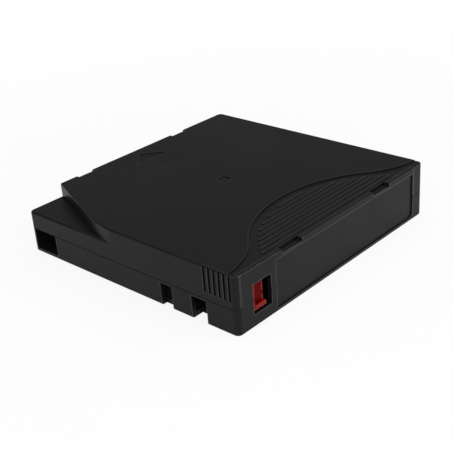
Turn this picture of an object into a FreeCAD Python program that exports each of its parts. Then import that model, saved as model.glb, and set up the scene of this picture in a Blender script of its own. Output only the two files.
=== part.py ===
"""Single-reel data tape cartridge: two moulded shells, reel with brake, leader pin, door and switch.

Frame: +X to the right of the label, +Y the way the cartridge is inserted, +Z up.
Origin: centre of the base. Lengths are in millimetres, angles in degrees.
"""
import FreeCAD, Part
import math
import os

import Sketcher
from FreeCAD import Placement, Rotation, Vector

SIZES = {
    # Case
    "case_width": 105.4,
    "case_depth": 102.0,
    "case_height": 21.5,
    "side_wall": 1.5,
    "floor_wall": 1.6,
    "roof_wall": 1.6,
    "parting_height": 9.45,
    "corner_radius": 2.0,
    "inner_radius": 0.8,
    "top_edge_radius": 0.8,
    "crown_lap": 1.15,
    "base_edge_radius": 0.8,
    "seam_gap": 0.2,
    "seam_bevel": 0.15,
    "moving_gap": 0.3,
    # Lowered front left corner
    "shelf_height": 16.2,
    "shelf_angle": 22.0,
    "shelf_bulge": 0.25,
    # Label panel, write protect window
    "panel_right": 46.6,
    "label_left": 33.7,
    "label_right": 46.0,
    "label_base": 1.3,
    "label_top": 18.8,
    "label_depth": 0.5,
    "label_chamfer": 1.2,
    "window_left": 45.0,
    "window_width": 8.7,
    "window_base": 4.6,
    "window_height": 10.7,
    "panel_edge_radius": 0.25,
    # Ribbed grip on the roof
    "grip_depth": 0.5,
    "grip_length": 24.5,
    "grip_radius": 48.7,
    "grip_shoulder": 3.4,
    "rib_count": 9,
    "rib_pitch": 2.13,
    "rib_width": 1.1,
    "rib_height": 0.35,
    "rib_first": 3.63,
    "rib_inset": 3.3,
    # Marks and finger notches on the roof
    "dimple_radius": 2.5,
    "nub_radius": 0.6,
    "nub_height": 0.2,
    "mark_depth": 0.35,
    "arrow_tip": 4.5,
    "arrow_length": 8.0,
    "arrow_half_width": 8.6,
    "notch_spacing": 50.4,
    "rear_notch_width": 10.2,
    "front_notch_width": 8.0,
    "front_notch_reach": 1.9,
    "rear_notch_reach": 2.4,
    "notch_drop": 1.3,
    "notch_wall": 1.0,
    # Left side: grooves, handling notches, handling pocket
    "groove_count": 6,
    "groove_pitch": 2.1,
    "groove_width": 1.0,
    "groove_depth": 0.6,
    "groove_base": 12.0,
    "groove_first": 2.6,
    "small_notch_rear": 28.4,
    "small_notch_width": 5.3,
    "small_notch_depth": 2.2,
    "large_notch_rear": 13.0,
    "large_notch_width": 6.7,
    "large_notch_depth": 4.7,
    "notch_height": 8.7,
    "notch_relief": 0.7,
    "liner_wall": 1.2,
    "pocket_front": 2.0,
    "pocket_width": 12.0,
    "pocket_base": 1.4,
    "pocket_depth": 6.0,
    # Fences, bosses, screws, locating holes
    "fence_gap": 1.0,
    "fence_wall": 1.0,
    "fence_height": 5.4,
    "fence_trim": 8.0,
    "brace_wall": 1.0,
    "rear_brace_spacing": 56.0,
    "front_brace_left": 24.0,
    "boss_radius": 2.7,
    "screw_radius": 1.1,
    "screw_head_radius": 2.1,
    "screw_head_height": 1.3,
    "screw_length": 12.0,
    "screw_recess": 0.4,
    "screw_play": 0.15,
    "drive_slot_width": 0.6,
    "drive_slot_depth": 0.6,
    "front_left_screw_inset": 9.7,
    "front_right_screw_inset": 19.7,
    "front_screw_inset": 4.7,
    "rear_left_screw_inset": 5.9,
    "rear_left_screw_rear": 9.8,
    "rear_right_screw_inset": 12.2,
    "rear_right_screw_rear": 5.5,
    "locating_radius": 1.75,
    "locating_depth": 2.4,
    "locating_wall": 1.1,
    "locating_skin": 1.0,
    "locating_spacing": 73.0,
    "locating_front": 11.0,
    "locating_slot": 3.0,
    # Reel
    "reel_offset": 0.6,
    "hub_radius": 22.0,
    "hub_wall": 2.0,
    "reel_side_room": 3.2,
    "reel_end_room": 1.5,
    "flange_thickness": 1.2,
    "flange_spacing": 12.9,
    "web_thickness": 1.8,
    "hub_opening_play": 0.6,
    "rest_ring_wall": 1.5,
    "rest_ring_height": 0.5,
    "gear_radius": 17.4,
    "gear_width": 3.5,
    "gear_height": 0.9,
    "drive_teeth": 60,
    "drive_tooth_height": 1.0,
    "drive_tooth_base": 1.4,
    "plate_thickness": 0.8,
    "plate_bore_radius": 5.6,
    "plate_play": 0.4,
    "plate_hole_radius": 1.3,
    "plate_hole_circle": 9.5,
    "web_bore_radius": 5.3,
    "spigot_wall": 0.9,
    "spigot_height": 1.5,
    "spigot_play": 0.1,
    "tape_width": 12.65,
    "tape_margin": 1.0,
    "tape_play": 0.1,
    "lead_thickness": 0.2,
    # Brake and its release
    "brake_teeth": 60,
    "brake_tooth_height": 1.0,
    "brake_tooth_base": 1.5,
    "brake_ring_width": 3.0,
    "brake_ring_height": 1.0,
    "button_play": 0.6,
    "button_thickness": 1.5,
    "stem_radius": 5.0,
    "post_radius": 6.5,
    "post_height": 9.2,
    "key_thickness": 2.0,
    "key_clearance": 2.0,
    "key_slot_floor": 1.5,
    "brake_travel": 1.5,
    "brake_spring_radius": 9.0,
    "brake_wire": 0.9,
    "brake_turns": 4,
    "spring_seat_wall": 1.2,
    "spring_seat_height": 1.0,
    "spider_thickness": 1.0,
    "spider_radius": 9.0,
    "spider_arm_width": 3.0,
    "leg_circle": 15.4,
    "leg_width": 2.2,
    "leg_recess": 0.8,
    "plug_radius": 4.8,
    "plug_recess": 2.0,
    # Leader pin, its clip and its spring
    "pin_inset": 7.7,
    "pin_front": 10.0,
    "pin_radius": 1.5,
    "pin_head_radius": 2.2,
    "pin_head_height": 2.0,
    "pin_neck_radius": 1.2,
    "pin_neck_height": 1.0,
    "pin_seat_wall": 0.8,
    "pin_seat_height": 1.0,
    "clip_wall": 0.8,
    "clip_play": 0.05,
    "clip_slit": 1.2,
    "leaf_thickness": 0.4,
    "leaf_back": 4.5,
    "leaf_arm_height": 1.0,
    "leaf_angle": 50.0,
    # Door
    "door_front": 2.5,
    "door_opening": 13.5,
    "door_lap": 0.3,
    "door_overlap": 1.0,
    "door_base": 2.4,
    "door_top": 19.1,
    "door_thickness": 1.3,
    "door_gap": 0.2,
    "rail_wall": 1.0,
    "rail_height": 1.2,
    "rail_length": 37.5,
    "shoe_thickness": 0.8,
    "shoe_length": 1.2,
    "shoe_height": 3.0,
    "door_spring_radius": 0.85,
    "door_spring_offset": 0.2,
    "door_wire": 0.3,
    "door_turns": 14,
    "spring_stop": 1.2,
    "spring_stop_rear": 60.0,
    # Write protect switch
    "tray_width": 6.25,
    "tray_play": 0.15,
    "tray_lift": 0.9,
    "tray_recess": 0.6,
    "tray_depth": 3.0,
    "tray_side": 1.3,
    "tray_sill": 1.3,
    "tray_back": 2.6,
    "tray_edge_radius": 0.4,
    "tray_flange": 1.2,
    "tray_flange_thickness": 1.2,
    "guide_wall": 1.2,
    "guide_height": 7.4,
    # Cartridge memory
    "memory_inset": 4.5,
    "memory_length": 11.4,
    "memory_height": 13.0,
    "memory_thickness": 0.6,
    "chip_size": 3.0,
    "chip_thickness": 0.8,
    "coil_wall": 1.2,
    "coil_margin": 0.8,
    "coil_thickness": 0.2,
}

OVERCUT = 1.0       # how far a cutting shape runs past the face that it starts from
UP = Vector(0, 0, 1)


class Size:
    """A length that carries its value and its formula in sheet cells through arithmetic."""

    def __init__(self, value, formula=None):
        self.value = float(value)
        self.formula = formula or repr(float(value))

    def join(self, sign, other, value, swap=False):
        left, right = (other, self) if swap else (self, other)
        return Size(value, f"({left.formula} {sign} {right.formula})")

    def __add__(self, other):
        other = size(other)
        return self.join("+", other, self.value + other.value)

    def __sub__(self, other):
        other = size(other)
        return self.join("-", other, self.value - other.value)

    def __mul__(self, other):
        other = size(other)
        return self.join("*", other, self.value * other.value)

    def __truediv__(self, other):
        other = size(other)
        return self.join("/", other, self.value / other.value)

    def __rsub__(self, other):
        other = size(other)
        return self.join("-", other, other.value - self.value, swap=True)

    def __rtruediv__(self, other):
        other = size(other)
        return self.join("/", other, other.value / self.value, swap=True)

    def __neg__(self):
        return Size(-self.value, f"(0 - {self.formula})")

    __radd__ = __add__
    __rmul__ = __mul__


def size(number):
    return number if isinstance(number, Size) else Size(number)


def root(square):
    return Size(math.sqrt(square.value), f"sqrt({square.formula})")


def smaller(one, other):
    return Size(min(one.value, other.value), f"min({one.formula}; {other.formula})")


def sine(angle):
    return Size(math.sin(math.radians(angle.value)), f"sin({angle.formula} * 1 deg)")


def cosine(angle):
    return Size(math.cos(math.radians(angle.value)), f"cos({angle.formula} * 1 deg)")


class Sheet:
    """The driving sizes, one cell each; sheet.name gives the size of that alias."""

    def __init__(self, doc, sizes):
        cells = doc.addObject("Spreadsheet::Sheet", "Sizes")
        for row, (alias, number) in enumerate(sizes.items(), start=1):
            cells.set(f"A{row}", alias)
            cells.set(f"B{row}", str(number))
            cells.setAlias(f"B{row}", alias)
        doc.recompute()
        for alias in sizes:
            setattr(self, alias, Size(cells.get(alias), f"Sizes.{alias}"))


DOC = FreeCAD.newDocument("TapeCartridge")
S = Sheet(DOC, SIZES)


# ---------------------------------------------------------------- sketches

def bind(item, prop, length):
    item.setExpression(prop, length.formula)


def fix(sketch, kind, *target, length):
    """Adds one dimension to a sketch and ties it to the sheet."""
    index = sketch.addConstraint(Sketcher.Constraint(kind, *target, length.value))
    if "Sizes." in length.formula:
        bind(sketch, f"Constraints[{index}]", length)


def fix_point(sketch, geometry, point, x=None, y=None):
    for kind, length in (("DistanceX", x), ("DistanceY", y)):
        if length is not None:
            fix(sketch, kind, -1, 1, geometry, point, length=size(length))


def arc(end_x, end_y, centre_x, centre_y, turn=1):
    """A leg of an outline: an arc about a centre, turn 1 anticlockwise or -1 clockwise."""
    return size(end_x), size(end_y), size(centre_x), size(centre_y), turn


def outline(sketch, start, *legs):
    """Closed loop from start along straight legs (x, y) and arcs; a straight leg closes it."""
    here = tuple(size(c) for c in start)
    first = previous = None
    pinned = (True, True)
    for number, leg in enumerate(legs + (start,)):
        leg = tuple(size(c) for c in leg[:4]) + leg[4:]
        there = leg[:2]
        points = [Vector(x.value, y.value, 0) for x, y in (here, there)]
        if len(leg) == 2:
            geometry = sketch.addGeometry(Part.LineSegment(*points), False)
            tail, head = 1, 2
        else:
            centre = Vector(leg[2].value, leg[3].value, 0)
            angles = [math.atan2(p.y - centre.y, p.x - centre.x) for p in points[::leg[4]]]
            if angles[1] < angles[0]:
                angles[1] += 2 * math.pi
            circle = Part.Circle(centre, UP, (points[0] - centre).Length)
            geometry = sketch.addGeometry(Part.ArcOfCircle(circle, *angles), False)
            tail, head = (1, 2)[::leg[4]]
            fix_point(sketch, geometry, 3, leg[2], leg[3])
        if previous is None:
            first = (geometry, tail)
        else:
            sketch.addConstraint(Sketcher.Constraint("Coincident", *previous, geometry, tail))
        fix_point(sketch, geometry, tail, *(c if use else None for c, use in zip(here, pinned)))
        pinned = (True, True)
        if len(leg) > 2:
            radial = points[1] - centre
            along_x = abs(radial.y) > abs(radial.x)
            pinned = (along_x, not along_x)
        previous = (geometry, head)
        here = there
    sketch.addConstraint(Sketcher.Constraint("Coincident", *previous, *first))


def box(sketch, left, right, low, high, radius=None):
    if radius is None:
        outline(sketch, (left, low), (right, low), (right, high), (left, high))
        return
    outline(
        sketch, (left, low + radius),
        arc(left + radius, low, left + radius, low + radius),
        (right - radius, low), arc(right, low + radius, right - radius, low + radius),
        (right, high - radius), arc(right - radius, high, right - radius, high - radius),
        (left + radius, high), arc(left, high - radius, left + radius, high - radius),
    )


def disc(sketch, x, y, radius):
    radius = size(radius)
    circle = Part.Circle(Vector(size(x).value, size(y).value, 0), UP, radius.value)
    geometry = sketch.addGeometry(circle, False)
    fix_point(sketch, geometry, 3, x, y)
    fix(sketch, "Radius", geometry, length=radius)


# ---------------------------------------------------------------- bodies

class Body:
    """A PartDesign body, built by sketches that are padded, cut, turned or repeated."""

    def __init__(self, label):
        self.item = DOC.addObject("PartDesign::Body", label)
        self.item.Label = label
        self.roles = {f.Role: f for f in self.item.Origin.OriginFeatures}

    def place(self, x=0, y=0, turn=0):
        bind(self.item, "Placement.Base.x", size(x))
        bind(self.item, "Placement.Base.y", size(y))
        bind(self.item, "Placement.Rotation.Angle", size(turn))

    def sketch(self, name, plane, level):
        sketch = self.item.newObject("Sketcher::SketchObject", f"{name}_sketch")
        sketch.AttachmentSupport = [(self.roles[plane], "")]
        sketch.MapMode = "FlatFace"
        bind(sketch, "AttachmentOffset.Base.z", size(level))
        return sketch

    def feature(self, kind, name, profile):
        feature = self.item.newObject(f"PartDesign::{kind}", name)
        feature.Profile = profile
        return feature

    def finish(self, feature):
        self.item.Tip = feature
        DOC.recompute()
        return feature

    def grow(self, name, low, high, draw, plane="XY_Plane"):
        """Pads a sketch from one level to a higher one."""
        profile = self.sketch(name, plane, low)
        draw(profile)
        pad = self.feature("Pad", name, profile)
        bind(pad, "Length", size(high) - low)
        return self.finish(pad)

    def cut(self, name, low, high, draw, plane="XY_Plane"):
        """Pockets a sketch from one level down to a lower one, and makes sure that it removes something."""
        before = self.item.Shape.Volume
        profile = self.sketch(name, plane, high)
        draw(profile)
        pocket = self.feature("Pocket", name, profile)
        bind(pocket, "Length", size(high) - low)
        self.finish(pocket)
        if not self.item.Shape.Volume < before:
            raise RuntimeError(f"{name} cuts nothing")
        return pocket

    def turn(self, name, *profile):
        """Revolves a closed (radius, height) profile about the body's own Z axis."""
        sketch = self.sketch(name, "XZ_Plane", 0)
        outline(sketch, *profile)
        revolution = self.feature("Revolution", name, sketch)
        revolution.ReferenceAxis = (sketch, ["V_Axis"])
        revolution.Angle = 360
        return self.finish(revolution)

    def ring_of(self, feature, count):
        """Repeats a feature round the body's own Z axis."""
        pattern = self.item.newObject("PartDesign::PolarPattern", f"{feature.Name}_ring")
        pattern.Originals = [feature]
        pattern.Axis = (self.roles["Z_Axis"], [""])
        pattern.Angle = 360
        bind(pattern, "Occurrences", size(count))
        return self.finish(pattern)

    def row_of(self, feature, role, count, pitch):
        """Repeats a feature along one of the body's axes."""
        pattern = self.item.newObject("PartDesign::LinearPattern", f"{feature.Name}_row")
        pattern.Originals = [feature]
        pattern.Direction = (self.roles[role], [""])
        bind(pattern, "Length", pitch * (count - 1))
        bind(pattern, "Occurrences", size(count))
        return self.finish(pattern)

    def treat_edges(self, kind, name, chosen):
        """Adds an edge feature on each edge whose end points all pass the test."""
        solid = self.item.Tip
        names = [
            f"Edge{number}" for number, edge in enumerate(solid.Shape.Edges, start=1)
            if all(chosen(vertex.Point) for vertex in edge.Vertexes)
        ]
        edges = self.item.newObject(f"PartDesign::{kind}", name)
        edges.Base = (solid, names)
        return edges

    def round_edges(self, name, radius, chosen):
        fillet = self.treat_edges("Fillet", name, chosen)
        bind(fillet, "Radius", radius)
        return self.finish(fillet)

    def bevel_edges(self, name, length, chosen):
        chamfer = self.treat_edges("Chamfer", name, chosen)
        bind(chamfer, "Size", length)
        return self.finish(chamfer)


def at(coordinate, length):
    return abs(coordinate - size(length).value) < 1e-4


# ---------------------------------------------------------------- places shared by several pieces

RIGHT = S.case_width / 2
LEFT = -RIGHT
FRONT = S.case_depth / 2
REAR = -FRONT
INNER_RIGHT = RIGHT - S.side_wall
INNER_LEFT = -INNER_RIGHT
INNER_FRONT = FRONT - S.side_wall
INNER_REAR = -INNER_FRONT
FLOOR = S.floor_wall
ROOF = S.case_height - S.roof_wall
SHELF_ROOF = S.shelf_height - S.roof_wall
GRIP_FLOOR = S.case_height - S.grip_depth
PANEL_LEFT = LEFT + S.corner_radius
REAR_NOTCH_FLOOR = GRIP_FLOOR - S.notch_drop

FLANGE_RADIUS = smaller(INNER_RIGHT - S.reel_side_room, INNER_FRONT - S.reel_end_room)
TAPE_RADIUS = FLANGE_RADIUS - S.tape_margin
FENCE_RADIUS = FLANGE_RADIUS + S.fence_gap
HUB_OPENING = S.gear_radius + S.hub_opening_play
REEL_BASE = FLOOR + S.rest_ring_height + S.moving_gap
FLANGE_TOP = REEL_BASE + S.flange_thickness
UPPER_FLANGE = FLANGE_TOP + S.flange_spacing
TAPE_BASE = FLANGE_TOP + (S.flange_spacing - S.tape_width) / 2
TAPE_TOP = TAPE_BASE + S.tape_width
WEB_TOP = REEL_BASE + S.web_thickness
GEAR_BASE = REEL_BASE - S.gear_height
BARREL_BORE = S.hub_radius - S.hub_wall
BUTTON_RADIUS = BARREL_BORE - S.button_play
BRAKE_FLOOR = WEB_TOP + S.brake_ring_height
BUTTON_BASE = BRAKE_FLOOR + S.brake_tooth_height + S.moving_gap
BUTTON_TOP = BUTTON_BASE + S.button_thickness
POST_TOP = BUTTON_TOP + S.post_height
SPIDER_BASE = WEB_TOP + S.moving_gap
SPIDER_TOP = SPIDER_BASE + S.spider_thickness
KEY_BASE = BUTTON_TOP + S.key_slot_floor + S.brake_travel + S.key_clearance
HALF_TOOTH = 180 / S.brake_teeth    # turn that puts the hub's brake teeth between the button's

PIN_LOW = FLOOR + S.moving_gap
PIN_HIGH = ROOF - S.moving_gap
PIN_SHAFT_LOW = PIN_LOW + S.pin_head_height + S.pin_neck_height
PIN_SHAFT_HIGH = PIN_HIGH - S.pin_head_height - S.pin_neck_height
PIN_X = RIGHT - S.pin_inset
PIN_Y = FRONT - S.pin_front
PIN_SEAT = S.pin_head_radius + S.moving_gap
PIN_SEAT_RIM = PIN_SEAT + S.pin_seat_wall

OPENING_FRONT = FRONT - S.door_front
OPENING_REAR = OPENING_FRONT - S.door_opening
DOOR_OUTER = INNER_RIGHT - S.door_gap
DOOR_INNER = DOOR_OUTER - S.door_thickness
DOOR_REAR = OPENING_REAR - S.door_overlap
RAIL_RIGHT = DOOR_INNER - S.moving_gap
RAIL_LEFT = RAIL_RIGHT - S.rail_wall
STOP_FRONT = FRONT - (S.case_depth - S.spring_stop_rear)
SPRING_X = DOOR_INNER + S.door_spring_offset
SPRING_Z = (FLOOR + ROOF) / 2

WINDOW_LEFT = -S.window_left
WINDOW_RIGHT = WINDOW_LEFT + S.window_width
WINDOW_TOP = S.window_base + S.window_height
TRAY_LOW = S.window_base + S.tray_lift

POCKET_FRONT = FRONT - S.pocket_front
POCKET_REAR = POCKET_FRONT - S.pocket_width
POCKET_BACK = LEFT + S.pocket_depth

SCREWS = {
    "front_left": (LEFT + S.front_left_screw_inset, FRONT - S.front_screw_inset),
    "front_right": (RIGHT - S.front_right_screw_inset, FRONT - S.front_screw_inset),
    "rear_left": (LEFT + S.rear_left_screw_inset, REAR + S.rear_left_screw_rear),
    "rear_right": (RIGHT - S.rear_right_screw_inset, REAR + S.rear_right_screw_rear),
}
SCREW_HOLE = S.screw_radius + S.screw_play
SCREW_TOP = S.screw_recess + S.screw_length


def notch_spans():
    """Rear and front edge and depth of the two notches in the base of the left side."""
    for rear, width, depth in (
        (S.small_notch_rear, S.small_notch_width, S.small_notch_depth),
        (S.large_notch_rear, S.large_notch_width, S.large_notch_depth),
    ):
        yield REAR + rear, REAR + rear + width, LEFT + depth


def stepped(sketch, inset, radius):
    """Case outline, less the corner that is cut back along the reel at the front left."""
    left, right, rear, front = LEFT + inset, RIGHT - inset, REAR + inset, FRONT - inset
    wrap = RIGHT + S.shelf_bulge - inset
    meet = S.reel_offset + root(wrap * wrap - left * left)
    turn_x = -(wrap * cosine(S.shelf_angle))
    turn_y = S.reel_offset + wrap * sine(S.shelf_angle)
    run = (front - turn_y) / cosine(S.shelf_angle)
    outline(
        sketch, (left, rear + radius),
        arc(left + radius, rear, left + radius, rear + radius),
        (right - radius, rear), arc(right, rear + radius, right - radius, rear + radius),
        (right, front - radius), arc(right - radius, front, right - radius, front - radius),
        (turn_x + run * sine(S.shelf_angle), front), (turn_x, turn_y),
        arc(left, meet, 0, S.reel_offset),
    )


def full(sketch, inset, radius):
    box(sketch, LEFT + inset, RIGHT - inset, REAR + inset, FRONT - inset, radius)


# ---------------------------------------------------------------- features that both shells share

def add_fence(shell, low, high):
    """Round fence about the reel, open towards the leader pin and the door."""
    def ring(sketch):
        disc(sketch, 0, S.reel_offset, FENCE_RADIUS)
        disc(sketch, 0, S.reel_offset, FENCE_RADIUS + S.fence_wall)

    shell.grow("fence", low, high, ring)
    shell.cut("fence_gap", low, high, lambda sketch: box(
        sketch, -S.fence_trim, INNER_RIGHT - S.side_wall, -S.fence_trim, INNER_FRONT))


def add_braces(shell, low, high, rear):
    """Ribs that tie the fence to the rear wall and to the front wall."""
    half = S.brace_wall / 2

    def ends(x):
        return root(FENCE_RADIUS * FENCE_RADIUS - x * x) + S.fence_wall / 2

    def ribs(sketch):
        for side in (-1, 1):
            x = S.rear_brace_spacing / 2 * side
            box(sketch, x - half, x + half, rear, S.reel_offset - ends(x))
        x = -S.front_brace_left
        box(sketch, x - half, x + half, S.reel_offset + ends(x), INNER_FRONT + S.side_wall / 2)

    shell.grow("braces", low, high, ribs)


def add_rail(shell, low, high):
    shell.grow("door_rail", low, high, lambda sketch: box(
        sketch, RAIL_LEFT, RAIL_RIGHT, INNER_FRONT - S.rail_length, INNER_FRONT))


def add_spring_stop(shell, low, high):
    shell.grow("spring_stop", low, high, lambda sketch: box(
        sketch, RAIL_LEFT, INNER_RIGHT, STOP_FRONT - S.spring_stop, STOP_FRONT))


def add_pin_seat(shell, low, high):
    """Cup that holds one end of the leader pin, open towards the door."""
    shell.grow("pin_seat", low, high, lambda sketch: disc(sketch, PIN_X, PIN_Y, PIN_SEAT_RIM))
    shell.cut("pin_way", low, high, lambda sketch: outline(
        sketch, (RAIL_LEFT, PIN_Y - PIN_SEAT), (RAIL_LEFT, PIN_Y + PIN_SEAT),
        (PIN_X, PIN_Y + PIN_SEAT), arc(PIN_X, PIN_Y - PIN_SEAT, PIN_X, PIN_Y)))


def cut_door_opening(shell, low, high):
    shell.cut("door_opening", INNER_RIGHT - S.moving_gap, RIGHT + OVERCUT, lambda sketch: box(
        sketch, OPENING_REAR, OPENING_FRONT, low, high), plane="YZ_Plane")


# ---------------------------------------------------------------- shells

def make_top_shell():
    shell = Body("top_shell")
    shell.grow("skirt", S.parting_height, S.shelf_height, lambda sketch: full(sketch, 0, S.corner_radius))
    shell.bevel_edges("seam_edge", S.seam_bevel, lambda p: at(p.z, S.parting_height))
    shell.round_edges("shelf_edge", S.top_edge_radius, lambda p: at(p.z, S.shelf_height))
    shell.grow("crown", S.shelf_height - S.crown_lap, S.case_height,
               lambda sketch: stepped(sketch, 0, S.corner_radius))
    shell.round_edges("roof_edge", S.top_edge_radius, lambda p: at(p.z, S.case_height))
    shell.cut("lower_room", S.parting_height, SHELF_ROOF,
              lambda sketch: full(sketch, S.side_wall, S.inner_radius))
    shell.cut("upper_room", SHELF_ROOF, ROOF,
              lambda sketch: stepped(sketch, S.side_wall, S.inner_radius))
    shell.cut("panel_room", S.parting_height, GRIP_FLOOR + S.seam_gap, lambda sketch: box(
        sketch, PANEL_LEFT, S.panel_right, REAR - OVERCUT, INNER_REAR + S.seam_gap))

    add_fence(shell, ROOF - S.fence_height, ROOF)
    add_braces(shell, ROOF - S.fence_height, ROOF, INNER_REAR + S.seam_gap)
    add_rail(shell, ROOF - S.rail_height, ROOF)
    add_spring_stop(shell, S.parting_height, ROOF)
    add_pin_seat(shell, ROOF - S.pin_seat_height, ROOF)
    cut_door_opening(shell, S.parting_height - OVERCUT, S.door_top)
    shell.grow("pocket_lid", S.parting_height, S.parting_height + S.liner_wall, lambda sketch: box(
        sketch, INNER_LEFT - S.side_wall / 2, POCKET_BACK + S.liner_wall,
        POCKET_REAR - S.liner_wall, INNER_FRONT + S.side_wall / 2))
    add_top_bosses(shell)
    add_brake_key(shell)
    add_grip(shell)
    add_rear_notches(shell)
    add_roof_marks(shell)
    add_side_grooves(shell)
    return shell


def add_top_bosses(shell):
    for corner, (x, y) in SCREWS.items():
        roof = SHELF_ROOF if corner == "front_left" else ROOF
        shell.grow(f"{corner}_boss", S.parting_height, roof,
                   lambda sketch: disc(sketch, x, y, S.boss_radius))
        shell.cut(f"{corner}_pilot", S.parting_height, SCREW_TOP + S.moving_gap,
                  lambda sketch: disc(sketch, x, y, SCREW_HOLE))


def add_brake_key(shell):
    """Crossed ribs that stop the brake button from turning, and the seat of its spring."""
    half = S.key_thickness / 2
    reach = S.post_radius + S.moving_gap
    middle = S.reel_offset
    shell.grow("key_across", KEY_BASE, ROOF, lambda sketch: box(
        sketch, -reach, reach, middle - half, middle + half))
    shell.grow("key_along", KEY_BASE, ROOF, lambda sketch: box(
        sketch, -half, half, middle - reach, middle + reach))

    def seat(sketch):
        inner = S.brake_spring_radius + S.brake_wire
        disc(sketch, 0, middle, inner)
        disc(sketch, 0, middle, inner + S.spring_seat_wall)

    shell.grow("spring_seat", ROOF - S.spring_seat_height, ROOF, seat)


def add_grip(shell):
    """Bell-shaped recess along the rear of the roof, with ribs that follow its arch."""
    half = RIGHT + OVERCUT
    shoulder = REAR + S.grip_shoulder
    crown_y = REAR + S.grip_length - S.grip_radius
    rise = shoulder - crown_y
    flare = (half * half + rise * rise - S.grip_radius * S.grip_radius) / (2 * (S.grip_radius - rise))
    share = S.grip_radius / (S.grip_radius + flare)
    join_x = half * share
    join_y = crown_y + (rise + flare) * share

    def bell(sketch):
        outline(
            sketch, (-half, REAR - OVERCUT), (half, REAR - OVERCUT), (half, shoulder),
            arc(join_x, join_y, half, shoulder + flare, -1),
            arc(-join_x, join_y, 0, crown_y),
            arc(-half, shoulder, -half, shoulder + flare, -1))

    def ribs(sketch):
        for number in range(int(S.rib_count.value)):
            middle = REAR + S.rib_first + S.rib_pitch * number
            chord = S.grip_radius - S.rib_inset
            reach = root(chord * chord - (middle - crown_y) * (middle - crown_y))
            box(sketch, -reach, reach, middle - S.rib_width / 2, middle + S.rib_width / 2)

    shell.cut("grip_recess", GRIP_FLOOR, S.case_height + OVERCUT, bell)
    shell.grow("grip_ribs", GRIP_FLOOR, GRIP_FLOOR + S.rib_height, ribs)


def rear_notch_spans(margin):
    """Left and right edge of each of the two notches in the rear edge, widened by a margin."""
    half = S.rear_notch_width / 2 + margin
    for side in (-1, 1):
        middle = S.notch_spacing / 2 * side
        yield middle - half, middle + half


def add_rear_notches(shell):
    """Notches that run from the label panel into the grip, with the roof thickened under them."""
    end = REAR + S.rear_notch_reach

    def backing(sketch):
        for left, right in rear_notch_spans(S.notch_wall):
            box(sketch, left, right, INNER_REAR + S.seam_gap, end + S.notch_wall)

    def notches(sketch):
        for left, right in rear_notch_spans(0):
            box(sketch, left, right, REAR - OVERCUT, end)

    shell.grow("notch_backing", REAR_NOTCH_FLOOR - S.notch_wall, ROOF, backing)
    shell.cut("rear_notches", REAR_NOTCH_FLOOR, S.case_height + OVERCUT, notches)


def add_roof_marks(shell):
    """Arrow for the insertion direction, dimple over the reel's axis and notches in the front edge."""
    tip = FRONT - S.arrow_tip
    top = S.case_height + OVERCUT
    shell.cut("arrow", S.case_height - S.mark_depth, top, lambda sketch: outline(
        sketch, (0, tip), (-S.arrow_half_width, tip - S.arrow_length),
        (S.arrow_half_width, tip - S.arrow_length)))
    shell.cut("dimple", S.case_height - S.mark_depth, top,
              lambda sketch: disc(sketch, 0, S.reel_offset, S.dimple_radius))
    shell.grow("dimple_nub", S.case_height - S.mark_depth, S.case_height - S.mark_depth + S.nub_height,
               lambda sketch: disc(sketch, 0, S.reel_offset, S.nub_radius))

    def notches(sketch):
        half = S.front_notch_width / 2
        for side in (-1, 1):
            middle = S.notch_spacing / 2 * side
            box(sketch, middle - half, middle + half, FRONT - S.front_notch_reach, FRONT + OVERCUT)

    shell.cut("front_notches", S.case_height - S.notch_drop, top, notches)


def add_side_grooves(shell):
    """Saw-toothed grip grooves in the left side, steep towards the front and open at the roof."""
    first = REAR + S.groove_first
    half = S.groove_width / 2
    groove = shell.cut("groove", S.groove_base, S.case_height + OVERCUT, lambda sketch: outline(
        sketch, (LEFT - OVERCUT, first - half), (LEFT, first - half),
        (LEFT + S.groove_depth, first + half), (LEFT - OVERCUT, first + half)))
    shell.row_of(groove, "Y_Axis", S.groove_count, S.groove_pitch)


def make_bottom_shell():
    shell = Body("bottom_shell")
    shell.grow("tub", 0, S.parting_height, lambda sketch: full(sketch, 0, S.corner_radius))
    shell.round_edges("base_edge", S.base_edge_radius, lambda p: at(p.z, 0))
    shell.bevel_edges("seam_edge", S.seam_bevel, lambda p: at(p.z, S.parting_height))
    shell.cut("room", FLOOR, S.parting_height, lambda sketch: full(sketch, S.side_wall, S.inner_radius))
    add_fence(shell, FLOOR, FLOOR + S.fence_height)
    add_braces(shell, FLOOR, FLOOR + S.fence_height, INNER_REAR - S.side_wall / 2)
    add_rail(shell, FLOOR, FLOOR + S.rail_height)
    add_spring_stop(shell, FLOOR, S.parting_height)
    add_pin_seat(shell, FLOOR, FLOOR + S.pin_seat_height)
    cut_door_opening(shell, S.door_base, S.parting_height + OVERCUT)
    add_left_side(shell)
    add_label_panel(shell)
    add_switch_guides(shell)
    add_bottom_bosses(shell)
    add_locating_holes(shell)

    def rest_ring(sketch):
        disc(sketch, 0, S.reel_offset, HUB_OPENING)
        disc(sketch, 0, S.reel_offset, HUB_OPENING + S.rest_ring_wall)

    shell.grow("rest_ring", FLOOR, FLOOR + S.rest_ring_height, rest_ring)
    shell.cut("hub_opening", -OVERCUT, FLOOR + OVERCUT,
              lambda sketch: disc(sketch, 0, S.reel_offset, HUB_OPENING))
    return shell


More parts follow.
